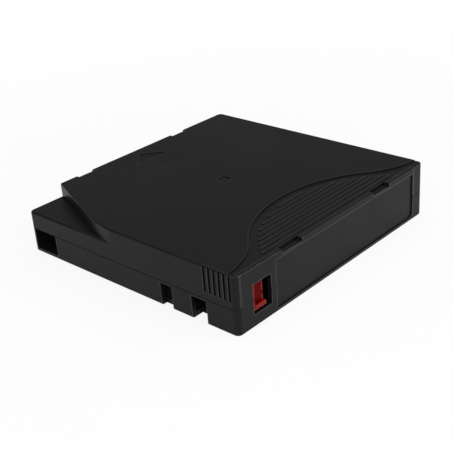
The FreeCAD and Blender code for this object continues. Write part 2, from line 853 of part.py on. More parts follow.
def add_left_side(shell):
    """Linings behind the left side, then the two notches and the handling pocket cut into them."""
    margin = S.notch_relief + S.liner_wall

    def linings(sketch):
        for low, high, back in notch_spans():
            box(sketch, INNER_LEFT - S.side_wall / 2, back + margin, low - margin, high + margin)
        box(sketch, INNER_LEFT - S.side_wall / 2, POCKET_BACK + S.liner_wall,
            POCKET_REAR - S.liner_wall, INNER_FRONT + S.side_wall / 2)

    def notches(sketch):
        for low, high, back in notch_spans():
            box(sketch, LEFT - OVERCUT, back, low, high)

    def reliefs(sketch):
        for low, high, back in notch_spans():
            box(sketch, INNER_LEFT, back + S.notch_relief, low - S.notch_relief, high + S.notch_relief)

    shell.grow("linings", FLOOR, S.parting_height, linings)
    shell.cut("side_notches", -OVERCUT, S.notch_height, notches)
    shell.cut("notch_reliefs", FLOOR, S.notch_height, reliefs)
    shell.cut("side_pocket", S.pocket_base, S.parting_height, lambda sketch: box(
        sketch, LEFT - OVERCUT, POCKET_BACK, POCKET_REAR, POCKET_FRONT))


def add_label_panel(shell):
    """Full-height rear panel with the label's shallow recess and the write protect window."""
    shell.grow("panel", S.parting_height - OVERCUT, GRIP_FLOOR, lambda sketch: box(
        sketch, PANEL_LEFT + S.seam_gap, S.panel_right - S.seam_gap, REAR, INNER_REAR))
    shell.round_edges("panel_edge", S.panel_edge_radius,
                      lambda p: at(p.z, GRIP_FLOOR) and at(p.y, REAR))
    left, right, chamfer = -S.label_left, S.label_right, S.label_chamfer
    shell.cut("label_recess", -REAR - S.label_depth, -REAR + OVERCUT, lambda sketch: outline(
        sketch, (left, S.label_base), (right - chamfer, S.label_base),
        (right, S.label_base + chamfer), (right, S.label_top), (left, S.label_top)),
        plane="XZ_Plane")
    shell.cut("window", -INNER_REAR - OVERCUT, -REAR + OVERCUT, lambda sketch: box(
        sketch, WINDOW_LEFT, WINDOW_RIGHT, S.window_base, WINDOW_TOP), plane="XZ_Plane")

    def rear_notches(sketch):
        for left, right in rear_notch_spans(0):
            box(sketch, left, right, REAR - OVERCUT, INNER_REAR + OVERCUT)

    shell.cut("rear_notches", REAR_NOTCH_FLOOR, GRIP_FLOOR + OVERCUT, rear_notches)


def add_switch_guides(shell):
    """Rails under and behind the write protect switch."""
    back = INNER_REAR + S.tray_depth + S.moving_gap
    left = WINDOW_LEFT - S.tray_flange - S.moving_gap
    right = WINDOW_RIGHT + S.tray_flange + S.moving_gap
    under = TRAY_LOW - S.tray_flange - S.moving_gap
    shell.grow("switch_sill", FLOOR, under, lambda sketch: box(
        sketch, left, right, INNER_REAR - S.side_wall / 2, back + S.guide_wall))
    shell.grow("switch_back", FLOOR, FLOOR + S.guide_height, lambda sketch: box(
        sketch, left, right, back, back + S.guide_wall))


def add_bottom_bosses(shell):
    """Posts for the case screws, with a counterbore for each head."""
    head = S.screw_head_radius + S.screw_play
    seat = S.screw_recess + S.screw_head_height

    def each(sketch, radius):
        for x, y in SCREWS.values():
            disc(sketch, x, y, radius)

    shell.grow("bosses", FLOOR, S.parting_height, lambda sketch: each(sketch, S.boss_radius))
    shell.cut("screw_holes", -OVERCUT, S.parting_height, lambda sketch: each(sketch, SCREW_HOLE))
    shell.cut("screw_seats", -OVERCUT, seat, lambda sketch: each(sketch, head))


def add_locating_holes(shell):
    """Blind round hole at the left and blind slot at the right, which place the cartridge in a drive."""
    x = S.locating_spacing / 2
    y = FRONT - S.locating_front
    radius = S.locating_radius

    def slot(sketch, radius):
        half = S.locating_slot / 2
        outline(sketch, (x - half, y + radius), arc(x - half, y - radius, x - half, y),
                (x + half, y - radius), arc(x + half, y + radius, x + half, y))

    rim = radius + S.locating_wall
    top = S.locating_depth + S.locating_skin
    shell.grow("locating_cup", FLOOR, top, lambda sketch: disc(sketch, -x, y, rim))
    shell.grow("locating_slot_cup", FLOOR, top, lambda sketch: slot(sketch, rim))
    shell.cut("locating_hole", -OVERCUT, S.locating_depth, lambda sketch: disc(sketch, -x, y, radius))
    shell.cut("locating_slot", -OVERCUT, S.locating_depth, lambda sketch: slot(sketch, radius))


# ---------------------------------------------------------------- reel

def make_reel_hub():
    """Barrel, lower flange and toothed drive ring, moulded as one."""
    hub = Body("reel_hub")
    hub.place(y=S.reel_offset, turn=HALF_TOOTH)
    gear_bore = S.gear_radius - S.gear_width
    brake_bore = BARREL_BORE - S.brake_ring_width
    hub.turn(
        "barrel", (S.web_bore_radius, REEL_BASE), (gear_bore, REEL_BASE), (gear_bore, GEAR_BASE),
        (S.gear_radius, GEAR_BASE), (S.gear_radius, REEL_BASE), (FLANGE_RADIUS, REEL_BASE),
        (FLANGE_RADIUS, FLANGE_TOP), (S.hub_radius, FLANGE_TOP), (S.hub_radius, UPPER_FLANGE),
        (BARREL_BORE, UPPER_FLANGE), (BARREL_BORE, BRAKE_FLOOR), (brake_bore, BRAKE_FLOOR),
        (brake_bore, WEB_TOP), (S.web_bore_radius, WEB_TOP))
    half = S.drive_tooth_base / 2
    tooth = hub.grow("drive_tooth", gear_bore, S.gear_radius, lambda sketch: outline(
        sketch, (-half, GEAR_BASE), (0, GEAR_BASE - S.drive_tooth_height), (half, GEAR_BASE)),
        plane="YZ_Plane")
    hub.ring_of(tooth, S.drive_teeth)
    half = S.brake_tooth_base / 2
    tooth = hub.grow("brake_tooth", brake_bore, BARREL_BORE + S.hub_wall / 2, lambda sketch: outline(
        sketch, (-half, BRAKE_FLOOR), (half, BRAKE_FLOOR), (0, BRAKE_FLOOR + S.brake_tooth_height)),
        plane="YZ_Plane")
    hub.ring_of(tooth, S.brake_teeth)
    reach = S.leg_width / 2 + S.moving_gap
    leg_hole = hub.cut("leg_hole", GEAR_BASE - S.drive_tooth_height - OVERCUT, BRAKE_FLOOR,
                       lambda sketch: box(sketch, S.leg_circle - reach, S.leg_circle + reach, -reach, reach))
    hub.ring_of(leg_hole, 3)
    return hub


def make_upper_flange():
    """Upper flange, with the spigot that centres it in the barrel."""
    flange = Body("upper_flange")
    flange.place(y=S.reel_offset)
    outer = BARREL_BORE - S.spigot_play
    inner = outer - S.spigot_wall
    top = UPPER_FLANGE + S.flange_thickness
    foot = UPPER_FLANGE - S.spigot_height
    flange.turn("disc", (inner, foot), (outer, foot), (outer, UPPER_FLANGE),
                (FLANGE_RADIUS, UPPER_FLANGE), (FLANGE_RADIUS, top), (inner, top))
    return flange


def make_reel_plate():
    """Steel washer under the hub that the drive's magnet holds."""
    plate = Body("reel_plate")
    plate.place(y=S.reel_offset)
    outer = S.gear_radius - S.gear_width - S.plate_play

    def washer(sketch):
        disc(sketch, 0, 0, S.plate_bore_radius)
        disc(sketch, 0, 0, outer)

    plate.grow("washer", REEL_BASE - S.plate_thickness, REEL_BASE, washer)
    hole = plate.cut("plate_hole", REEL_BASE - S.plate_thickness - OVERCUT, REEL_BASE,
                     lambda sketch: disc(sketch, S.plate_hole_circle, 0, S.plate_hole_radius))
    plate.ring_of(hole, 3)
    return plate


def make_tape_pack():
    pack = Body("tape_pack")
    pack.place(y=S.reel_offset)

    def turns(sketch):
        disc(sketch, 0, 0, S.hub_radius + S.tape_play)
        disc(sketch, 0, 0, TAPE_RADIUS)

    pack.grow("turns", TAPE_BASE, TAPE_TOP, turns)
    return pack


def feature(label, shape):
    item = DOC.addObject("Part::Feature", label)
    item.Label = label
    item.Shape = shape
    return item


def make_tape_lead():
    """Free stretch of tape from the wound pack to the clip on the leader pin."""
    pin = Vector(PIN_X.value, (PIN_Y - S.reel_offset).value, 0)
    half = S.lead_thickness.value / 2
    radius = TAPE_RADIUS.value + half + S.tape_play.value
    heading = math.atan2(pin.y, pin.x) + math.acos(radius / pin.Length)
    leave = Vector(math.cos(heading), math.sin(heading), 0) * radius
    way = (pin - leave).normalize()
    stop = pin - way * (S.pin_radius + S.clip_play + S.clip_wall + S.tape_play).value
    side = UP.cross(way) * half
    corners = [leave + side, leave - side, stop - side, stop + side, leave + side]
    strip = Part.Face(Part.makePolygon(corners)).extrude(UP * S.tape_width.value)
    lead = feature("tape_lead", strip)
    lead.Placement = Placement(Vector(0, S.reel_offset.value, TAPE_BASE.value), Rotation())
    return lead


# ---------------------------------------------------------------- brake

def make_brake_button():
    """Toothed brake disc with a cross-slotted post that slides on the roof's key."""
    button = Body("brake_button")
    button.place(y=S.reel_offset)
    foot = SPIDER_TOP + S.moving_gap
    tooth_bore = BARREL_BORE - S.brake_ring_width + S.moving_gap
    button.turn(
        "post", (0, foot), (S.stem_radius, foot), (S.stem_radius, BUTTON_BASE),
        (BUTTON_RADIUS, BUTTON_BASE), (BUTTON_RADIUS, BUTTON_TOP), (S.post_radius, BUTTON_TOP),
        (S.post_radius, POST_TOP), (0, POST_TOP))
    half_slot = S.key_thickness / 2 + S.moving_gap
    reach = S.post_radius + OVERCUT
    slot_floor = BUTTON_TOP + S.key_slot_floor
    for name, x, y in (("slot_across", reach, half_slot), ("slot_along", half_slot, reach)):
        button.cut(name, slot_floor, POST_TOP, lambda sketch: box(sketch, -x, x, -y, y))
    half = S.brake_tooth_base / 2
    tooth = button.grow("tooth", tooth_bore, BUTTON_RADIUS, lambda sketch: outline(
        sketch, (-half, BUTTON_BASE), (0, BUTTON_BASE - S.brake_tooth_height), (half, BUTTON_BASE)),
        plane="YZ_Plane")
    button.ring_of(tooth, S.brake_teeth)
    return button


def coil(label, radius, wire, length, turns):
    """Coil spring about its Z axis: many-sided wire, lofted through mitred sections along the helix."""
    per_turn, sides = 12, 6
    chords = per_turn * round(turns.value)
    rise = (length - wire).value / chords
    lead_angle = math.degrees(math.atan2(rise * per_turn, 2 * math.pi * radius.value))
    sections = []
    for number in range(chords + 1):
        around = Rotation(UP, 360 * number / per_turn)
        tilt = around.multiply(Rotation(Vector(1, 0, 0), lead_angle))
        middle = around.multVec(Vector(radius.value, 0, 0)) + UP * (number * rise + wire.value / 2)
        corners = [Rotation(Vector(0, 1, 0), 360 * side / sides) for side in range(sides + 1)]
        spoke = Vector(wire.value / 2, 0, 0)
        sections.append(Part.makePolygon([
            middle + tilt.multVec(corner.multVec(spoke)) for corner in corners]))
    return feature(label, Part.makeLoft(sections, True, True))


def make_brake_spring():
    low = BUTTON_TOP + S.moving_gap
    length = ROOF - S.moving_gap - low
    spring = coil("brake_spring", S.brake_spring_radius, S.brake_wire, length, S.brake_turns)
    spring.Placement = Placement(Vector(0, S.reel_offset.value, low.value), Rotation())
    return spring


def make_release_spider():
    """Three-legged lifter: the legs reach the drive ring, the middle lifts the brake button."""
    spider = Body("release_spider")
    spider.place(y=S.reel_offset, turn=HALF_TOOTH)
    spider.turn("centre", (0, S.plug_recess), (S.plug_radius, S.plug_recess),
                (S.plug_radius, SPIDER_BASE), (S.spider_radius, SPIDER_BASE),
                (S.spider_radius, SPIDER_TOP), (0, SPIDER_TOP))
    half_arm = S.spider_arm_width / 2
    half_leg = S.leg_width / 2
    arm_end = S.leg_circle + half_leg
    arm = spider.grow("arm", SPIDER_BASE, SPIDER_TOP,
                      lambda sketch: box(sketch, 0, arm_end, -half_arm, half_arm))
    spider.ring_of(arm, 3)
    leg = spider.grow("leg", S.leg_recess, SPIDER_TOP, lambda sketch: box(
        sketch, S.leg_circle - half_leg, arm_end, -half_leg, half_leg))
    spider.ring_of(leg, 3)
    return spider


# ---------------------------------------------------------------- leader pin

def make_leader_pin():
    pin = Body("leader_pin")
    pin.place(x=PIN_X, y=PIN_Y)
    head_low = PIN_LOW + S.pin_head_height
    head_high = PIN_HIGH - S.pin_head_height
    pin.turn(
        "pin", (0, PIN_LOW), (S.pin_head_radius, PIN_LOW), (S.pin_head_radius, head_low),
        (S.pin_neck_radius, head_low), (S.pin_neck_radius, PIN_SHAFT_LOW),
        (S.pin_radius, PIN_SHAFT_LOW), (S.pin_radius, PIN_SHAFT_HIGH),
        (S.pin_neck_radius, PIN_SHAFT_HIGH), (S.pin_neck_radius, head_high),
        (S.pin_head_radius, head_high), (S.pin_head_radius, PIN_HIGH), (0, PIN_HIGH))
    return pin


def make_pin_clip():
    """Split sleeve that snaps over the pin and traps the end of the tape."""
    clip = Body("pin_clip")
    clip.place(x=PIN_X, y=PIN_Y)
    bore = S.pin_radius + S.clip_play
    low = PIN_SHAFT_LOW + S.clip_play
    high = PIN_SHAFT_HIGH - S.clip_play

    def sleeve(sketch):
        disc(sketch, 0, 0, bore)
        disc(sketch, 0, 0, bore + S.clip_wall)

    clip.grow("sleeve", low, high, sleeve)
    half = S.clip_slit / 2
    clip.cut("slit", low, high, lambda sketch: box(
        sketch, 0, bore + S.clip_wall + OVERCUT, -half, half))
    return clip


def make_pin_spring():
    """Leaf spring with an upper and a lower arm that hold the pin's heads in their seats."""
    spring = Body("pin_spring")
    low = FLOOR + S.pin_seat_height + S.moving_gap
    high = ROOF - S.pin_seat_height - S.moving_gap
    half = S.leaf_thickness / 2
    back = PIN_X - S.leaf_back
    reach = S.pin_head_radius + S.moving_gap + half
    tip_x = PIN_X - reach * cosine(S.leaf_angle)
    tip_y = PIN_Y + reach * sine(S.leaf_angle)
    end = INNER_FRONT - S.moving_gap
    spring.grow("leaf", low, high, lambda sketch: outline(
        sketch, (back - half, end), (back - half, tip_y - half), (tip_x, tip_y - half),
        (tip_x, tip_y + half), (back + half, tip_y + half), (back + half, end)))
    spring.cut("arm_gap", low + S.leaf_arm_height, high - S.leaf_arm_height, lambda sketch: box(
        sketch, back + half, tip_x + OVERCUT, tip_y - S.leaf_thickness, tip_y + S.leaf_thickness))
    return spring


# ---------------------------------------------------------------- door

def make_door():
    """Sliding door, with a shoe at its rear end for the spring."""
    door = Body("door")
    low = FLOOR + S.moving_gap
    high = ROOF - S.moving_gap
    front = OPENING_FRONT + S.door_lap
    door.grow("plate", low, high, lambda sketch: box(sketch, DOOR_INNER, DOOR_OUTER, DOOR_REAR, front))
    half = S.shoe_height / 2
    door.grow("shoe", SPRING_Z - half, SPRING_Z + half, lambda sketch: box(
        sketch, DOOR_INNER - S.shoe_thickness, DOOR_INNER + S.door_thickness / 2,
        DOOR_REAR, DOOR_REAR + S.shoe_length))
    return door


def make_door_spring():
    low = STOP_FRONT + S.moving_gap
    length = DOOR_REAR - S.moving_gap - low
    spring = coil("door_spring", S.door_spring_radius, S.door_wire, length, S.door_turns)
    spring.Placement = Placement(
        Vector(SPRING_X.value, low.value, SPRING_Z.value), Rotation(Vector(1, 0, 0), -90))
    return spring


# ---------------------------------------------------------------- write protect switch

def make_write_protect_slider():
    """Tray that shows in the window, open at its right and top, on a plate that slides behind the wall."""
    slider = Body("write_protect_slider")
    left = WINDOW_LEFT + S.tray_play
    right = left + S.tray_width
    high = WINDOW_TOP - S.tray_play
    face = -REAR - S.tray_recess
    back = -INNER_REAR - S.tray_depth
    plate = -INNER_REAR - S.moving_gap
    slider.grow("plate", plate - S.tray_flange_thickness, plate, lambda sketch: box(
        sketch, left - S.tray_flange, right, TRAY_LOW - S.tray_flange, high + S.tray_flange),
        plane="XZ_Plane")
    slider.grow("tray", back, face, lambda sketch: box(sketch, left, right, TRAY_LOW, high),
                plane="XZ_Plane")
    slider.cut("hollow", back + S.tray_back, face, lambda sketch: box(
        sketch, left + S.tray_side, right, TRAY_LOW + S.tray_sill, high), plane="XZ_Plane")
    slider.round_edges("tray_edge", S.tray_edge_radius,
                       lambda p: at(p.y, -face) and at(p.x, left + S.tray_side))
    return slider


# ---------------------------------------------------------------- memory and screws

def memory_block(label, length, height, near, far):
    """Block in the plane of the memory board, between two distances behind the board's middle."""
    block = DOC.addObject("Part::Box", label)
    block.Label = label
    bind(block, "Length", length)
    bind(block, "Height", height)
    bind(block, "Width", far - near)
    return block


def place_memory(item, length, low, near):
    """Turns a block so that it lies across the rear right corner."""
    middle = Vector((INNER_RIGHT - S.memory_inset).value, (INNER_REAR + S.memory_inset).value, low.value)
    turn = Rotation(UP, 45)
    item.Placement = Placement(
        middle + turn.multVec(Vector(-length.value / 2, near.value, 0)), turn)


def make_memory():
    """Contactless memory: a board across the corner with a chip and an antenna coil."""
    low = FLOOR + S.moving_gap
    half = S.memory_thickness / 2
    board = memory_block("memory_board", S.memory_length, S.memory_height, -half, half)
    place_memory(board, S.memory_length, low, -half)
    chip = memory_block("memory_chip", S.chip_size, S.chip_size, half, half + S.chip_thickness)
    place_memory(chip, S.chip_size, low + (S.memory_height - S.chip_size) / 2, half)
    outer_length = S.memory_length - S.coil_margin * 2
    outer_height = S.memory_height - S.coil_margin * 2
    near = -half - S.coil_thickness
    outer = memory_block("coil_outer", outer_length, outer_height, near, -half)
    place_memory(outer, outer_length, low + S.coil_margin, near)
    inner_length = outer_length - S.coil_wall * 2
    inner = memory_block("coil_inner", inner_length, outer_height - S.coil_wall * 2,
                         near - OVERCUT, -half + OVERCUT)
    place_memory(inner, inner_length, low + S.coil_margin + S.coil_wall, near - OVERCUT)
    coil_frame = DOC.addObject("Part::Cut", "memory_coil")
    coil_frame.Label = "memory_coil"
    coil_frame.Base = outer
    coil_frame.Tool = inner
    return [board, chip, coil_frame]


def make_shell_screws():
    """Four self-tapping screws, entered from the base."""
    seat = S.screw_head_height.value
    head = S.screw_head_radius.value
    shank = S.screw_radius.value
    length = S.screw_length.value
    tip = length - shank
    profile = [(0, 0), (head, 0), (head, seat), (shank, seat), (shank, tip), (0, length), (0, 0)]
    face = Part.Face(Part.makePolygon([Vector(r, 0, z) for r, z in profile]))
    screw = face.revolve(Vector(), UP, 360)
    width, depth = S.drive_slot_width.value, S.drive_slot_depth.value
    for turn in (0, 90):
        slot = Part.makeBox(head, width, depth * 2, Vector(-head / 2, -width / 2, -depth))
        screw = screw.cut(slot.rotate(Vector(), UP, turn))
    copies = []
    for x, y in SCREWS.values():
        copy = screw.copy()
        copy.translate(Vector(x.value, y.value, S.screw_recess.value))
        copies.append(copy)
    return feature("shell_screws", Part.makeCompound(copies))


# ---------------------------------------------------------------- assembly

def make_parts():
    bodies = [
        make_top_shell(), make_bottom_shell(), make_reel_hub(), make_upper_flange(),
        make_reel_plate(), make_tape_pack(), make_brake_button(), make_release_spider(),
        make_leader_pin(), make_pin_clip(), make_pin_spring(), make_door(),
        make_write_protect_slider(),
    ]
    plain = [make_tape_lead(), make_brake_spring(), make_door_spring(), make_shell_screws()]
    return [body.item for body in bodies] + plain + make_memory()


def check(items):
    """Stops before anything is written if a feature failed or a sub-part is not a sound solid."""
    for item in DOC.Objects:
        if {"Invalid", "Error"} & set(item.State):
            raise RuntimeError(f"{item.Name} failed: {item.State}")
    for item in items:
        if item.Shape.isNull() or not item.Shape.isValid():
            raise RuntimeError(f"{item.Label} has no valid shape")


parts = make_parts()
DOC.recompute()
check(parts)
os.makedirs("parts", exist_ok=True)
for part in parts:
    part.Shape.exportStep(f"parts/{part.Label}.step")
    print(part.Label, len(part.Shape.Solids), "solid(s)", round(part.Shape.Volume, 2), "mm3")
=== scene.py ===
"""Dresses the data tape cartridge: finishes, wound springs, threaded screws and a studio."""
import math

import bmesh
import bpy
from bpy.props import FloatProperty, FloatVectorProperty, PointerProperty
from bpy.types import NodeSocket, Operator, Panel, PropertyGroup
from mathutils import Matrix, Vector


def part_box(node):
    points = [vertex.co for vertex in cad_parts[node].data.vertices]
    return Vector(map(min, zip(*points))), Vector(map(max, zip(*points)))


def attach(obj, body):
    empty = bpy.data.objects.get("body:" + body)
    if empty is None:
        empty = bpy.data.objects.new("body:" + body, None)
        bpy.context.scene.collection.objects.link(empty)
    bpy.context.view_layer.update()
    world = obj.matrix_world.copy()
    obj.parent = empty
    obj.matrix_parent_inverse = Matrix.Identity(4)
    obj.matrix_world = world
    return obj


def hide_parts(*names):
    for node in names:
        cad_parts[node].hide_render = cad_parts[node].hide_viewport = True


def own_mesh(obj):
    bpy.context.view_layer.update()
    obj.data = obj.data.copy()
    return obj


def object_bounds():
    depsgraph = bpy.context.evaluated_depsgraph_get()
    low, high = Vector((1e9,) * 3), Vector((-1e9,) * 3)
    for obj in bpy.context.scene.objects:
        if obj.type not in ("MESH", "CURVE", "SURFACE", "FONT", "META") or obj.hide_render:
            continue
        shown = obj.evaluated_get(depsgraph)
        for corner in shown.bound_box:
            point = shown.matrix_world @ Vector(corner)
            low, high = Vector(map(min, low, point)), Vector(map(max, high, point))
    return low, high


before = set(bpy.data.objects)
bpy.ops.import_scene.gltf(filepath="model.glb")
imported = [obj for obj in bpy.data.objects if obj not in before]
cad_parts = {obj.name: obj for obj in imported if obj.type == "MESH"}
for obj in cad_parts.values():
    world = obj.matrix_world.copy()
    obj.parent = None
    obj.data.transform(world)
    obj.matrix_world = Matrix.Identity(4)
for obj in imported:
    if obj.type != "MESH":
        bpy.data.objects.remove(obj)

bl_info = {
    "name": "Tape Cartridge",
    "version": (1, 0, 0),
    "blender": (4, 5, 0),
    "location": "3D View > Sidebar > Cartridge",
    "description": "Finishes, springs, screws and studio for a single-reel data tape cartridge",
    "category": "Object",
}

CAD_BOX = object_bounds()
MM = 0.001
FULL_TURN = 2 * math.pi
WHITE = (1.0, 1.0, 1.0, 1.0)
GREY = (0.5, 0.5, 0.5, 1.0)


# ---------------------------------------------------------------- settings

class CaseFinish(PropertyGroup):
    colour: FloatVectorProperty(
        name="Case colour", description="Colour of the two case shells", subtype="COLOR",
        size=3, min=0, max=1, default=(0.0054, 0.0055, 0.0058))
    door_colour: FloatVectorProperty(
        name="Door colour", description="Colour of the sliding door", subtype="COLOR",
        size=3, min=0, max=1, default=(0.006, 0.0062, 0.0066))
    switch_colour: FloatVectorProperty(
        name="Switch colour", description="Colour of the write protect switch", subtype="COLOR",
        size=3, min=0, max=1, default=(0.11, 0.001, 0.0007))
    roughness: FloatProperty(
        name="Case roughness", description="Roughness of the moulded case",
        min=0, max=1, default=0.4)
    grain_size: FloatProperty(
        name="Grain size", description="Size of one grain of the moulded texture",
        unit="LENGTH", min=0.00005, max=0.002, default=0.00028)
    # The polished line along an edge also carries a painted highlight: its colour is made lighter.
    edge_width: FloatProperty(
        name="Polished edge with highlight", description="Width of the polished line, with a painted highlight, along an outward edge",
        unit="LENGTH", min=0.00005, max=0.002, default=0.00035)


class ReelFinish(PropertyGroup):
    reel_colour: FloatVectorProperty(
        name="Reel colour", description="Colour of the hub and the flanges", subtype="COLOR",
        size=3, min=0, max=1, default=(0.42, 0.43, 0.43))
    brake_colour: FloatVectorProperty(
        name="Brake colour", description="Colour of the brake button and its release",
        subtype="COLOR", size=3, min=0, max=1, default=(0.66, 0.64, 0.59))
    tape_colour: FloatVectorProperty(
        name="Tape colour", description="Colour of the edge of the wound tape", subtype="COLOR",
        size=3, min=0, max=1, default=(0.022, 0.016, 0.014))
    turn_height: FloatProperty(
        name="Turn band", description="Width of one visible band of wound turns",
        unit="LENGTH", min=0.0001, max=0.003, default=0.0006)


class MetalFinish(PropertyGroup):
    plate_colour: FloatVectorProperty(
        name="Plate steel", description="Colour of the plate under the hub", subtype="COLOR",
        size=3, min=0, max=1, default=(0.56, 0.56, 0.57))
    pin_colour: FloatVectorProperty(
        name="Pin steel", description="Colour of the leader pin", subtype="COLOR",
        size=3, min=0, max=1, default=(0.6, 0.6, 0.62))
    leaf_colour: FloatVectorProperty(
        name="Leaf steel", description="Colour of the leaf spring that holds the pin",
        subtype="COLOR", size=3, min=0, max=1, default=(0.5, 0.5, 0.51))
    spring_colour: FloatVectorProperty(
        name="Spring steel", description="Colour of the two wound springs", subtype="COLOR",
        size=3, min=0, max=1, default=(0.47, 0.47, 0.48))
    screw_colour: FloatVectorProperty(
        name="Screw steel", description="Colour of the case screws", subtype="COLOR",
        size=3, min=0, max=1, default=(0.3, 0.3, 0.31))
    antenna_colour: FloatVectorProperty(
        name="Antenna copper", description="Colour of the memory's antenna coil", subtype="COLOR",
        size=3, min=0, max=1, default=(0.82, 0.42, 0.22))


class SmallPartFinish(PropertyGroup):
    clip_colour: FloatVectorProperty(
        name="Clip colour", description="Colour of the clip on the leader pin", subtype="COLOR",
        size=3, min=0, max=1, default=(0.03, 0.03, 0.033))
    chip_colour: FloatVectorProperty(
        name="Chip colour", description="Colour of the memory chip", subtype="COLOR",
        size=3, min=0, max=1, default=(0.015, 0.015, 0.016))
    board_colour: FloatVectorProperty(
        name="Board colour", description="Colour of the memory board's lacquer", subtype="COLOR",
        size=3, min=0, max=1, default=(0.012, 0.09, 0.035))
    pad_colour: FloatVectorProperty(
        name="Board pads", description="Colour of the lacquer over the board's copper",
        subtype="COLOR", size=3, min=0, max=1, default=(0.015, 0.1, 0.04))
    track_colour: FloatVectorProperty(
        name="Board tracks", description="Colour of the lines between the board's fields",
        subtype="COLOR", size=3, min=0, max=1, default=(0.05, 0.2, 0.06))


class SpringSizes(PropertyGroup):
    brake_wire: FloatProperty(
        name="Brake spring wire", description="Thickness of the brake spring's wire",
        unit="LENGTH", min=0.0002, max=0.002, default=0.0009)
    brake_turns: FloatProperty(
        name="Brake spring turns", description="Turns of the brake spring",
        min=1, max=20, default=5)
    door_wire: FloatProperty(
        name="Door spring wire", description="Thickness of the door spring's wire",
        unit="LENGTH", min=0.0001, max=0.001, default=0.0003)
    door_turns: FloatProperty(
        name="Door spring turns", description="Turns of the door spring",
        min=1, max=60, default=20)


class ScrewSizes(PropertyGroup):
    shank: FloatProperty(
        name="Thread core", description="Core radius of the screw", unit="LENGTH",
        min=0.0003, max=0.002, default=0.0008)
    crest: FloatProperty(
        name="Thread crest", description="Outer radius of the screw's thread", unit="LENGTH",
        min=0.0004, max=0.002, default=0.0011)
    pitch: FloatProperty(
        name="Thread pitch", description="Rise of the thread over one turn", unit="LENGTH",
        min=0.0003, max=0.002, default=0.001)
    recess_depth: FloatProperty(
        name="Recess depth", description="Depth of the cross recess in the head", unit="LENGTH",
        min=0.0002, max=0.002, default=0.0008)
    recess_width: FloatProperty(
        name="Recess width", description="Width of each slot of the cross recess", unit="LENGTH",
        min=0.0002, max=0.001, default=0.0005)


class Studio(PropertyGroup):
    azimuth: FloatProperty(
        name="Camera azimuth", description="Direction of the camera round the cartridge",
        subtype="ANGLE", default=math.radians(-45.98))
    elevation: FloatProperty(
        name="Camera elevation", description="Height of the camera above the horizon",
        subtype="ANGLE", default=math.radians(26.43))
    roll: FloatProperty(
        name="Camera roll", description="Tilt of the camera about its own axis",
        subtype="ANGLE", default=math.radians(-4.5))
    distance: FloatProperty(
        name="Camera distance", description="Distance of the camera from the case's base",
        unit="LENGTH", min=0.1, max=3, default=0.34585)
    lens: FloatProperty(
        name="Lens", description="Focal length in millimetres on a 36 mm sensor",
        min=10, max=400, default=72.77)
    aside: FloatProperty(
        name="Camera aside", description="Sideways place of the camera against the case's base",
        unit="LENGTH", default=-0.00144)
    raised: FloatProperty(
        name="Camera raised", description="Upward place of the camera against the case's base",
        unit="LENGTH", default=0.00199)
    key_power: FloatProperty(
        name="Key lamp", description="Power of the large soft lamp above the camera, in watts",
        min=0, max=50, default=4.4)
    fill_power: FloatProperty(
        name="Fill lamp", description="Power of the large soft lamp overhead, in watts",
        min=0, max=50, default=2.2)
    rim_power: FloatProperty(
        name="Rim lamp", description="Power of the small lamp that glints on the edges, in watts",
        min=0, max=50, default=1.2)
    room_light: FloatProperty(
        name="Room light", description="Even light from all round", min=0, max=2, default=0.15)
    gloss_share: FloatProperty(
        name="Gloss share", description="Part of the white surround that shows in glossy surfaces",
        min=0, max=1, default=0.1)


class Cartridge(PropertyGroup):
    case: PointerProperty(
        name="Case", description="Finish of the case, the door and the switch", type=CaseFinish)
    reel: PointerProperty(
        name="Reel", description="Finish of the reel, the brake and the tape", type=ReelFinish)
    metal: PointerProperty(
        name="Metal", description="Colours of the metal parts", type=MetalFinish)
    small: PointerProperty(
        name="Small parts", description="Colours of the clip and the memory", type=SmallPartFinish)
    springs: PointerProperty(
        name="Springs", description="Sizes of the wound springs", type=SpringSizes)
    screws: PointerProperty(
        name="Screws", description="Sizes of the case screws", type=ScrewSizes)
    studio: PointerProperty(
        name="Studio", description="Camera and lamps", type=Studio)


# ---------------------------------------------------------------- node helpers

def link(tree, source, target):
    tree.links.new(source, target)


def fill(tree, socket, value):
    """Connects a socket to another one, or sets its own value."""
    if isinstance(value, NodeSocket):
        link(tree, value, socket)
    else:
        socket.default_value = value


def add_node(tree, kind, inputs=None, **settings):
    """Adds a node, sets its options, and fills or connects its inputs by name or number."""
    made = tree.nodes.new(kind)
    for name, value in settings.items():
        setattr(made, name, value)
    for name, value in (inputs or {}).items():
        fill(tree, made.inputs[name], value)
    return made


def calc(tree, operation, first, second=0.0, third=0.0):
    return add_node(
        tree, "ShaderNodeMath", {0: first, 1: second, 2: third}, operation=operation).outputs[0]


def vector_calc(tree, operation, first, second):
    return add_node(
        tree, "ShaderNodeVectorMath", {0: first, 1: second}, operation=operation).outputs["Vector"]


def vector_length(tree, vector):
    return add_node(
        tree, "ShaderNodeVectorMath", {0: vector}, operation="LENGTH").outputs["Value"]


def spread(tree, value, span, result=(0.0, 1.0)):
    """Maps a span of values onto another, and holds what lies past its ends."""
    return add_node(tree, "ShaderNodeMapRange", {
        "Value": value, "From Min": span[0], "From Max": span[1],
        "To Min": result[0], "To Max": result[1]}).outputs["Result"]


def centred(tree, value):
    """Moves noise from between 0 and 1 to either side of 0."""
    return calc(tree, "SUBTRACT", value, 0.5)


def tinted(tree, colour, value):
    return add_node(tree, "ShaderNodeVectorMath", {0: colour, "Scale": value},
                    operation="SCALE").outputs["Vector"]


def lightened(tree, colour, lift):
    """A colour times one more than the lift, which darkens it where the lift is negative."""
    return tinted(tree, colour, calc(tree, "ADD", lift, 1.0))


def surface_point(tree):
    return tree.nodes.new("ShaderNodeTexCoord").outputs["Object"]


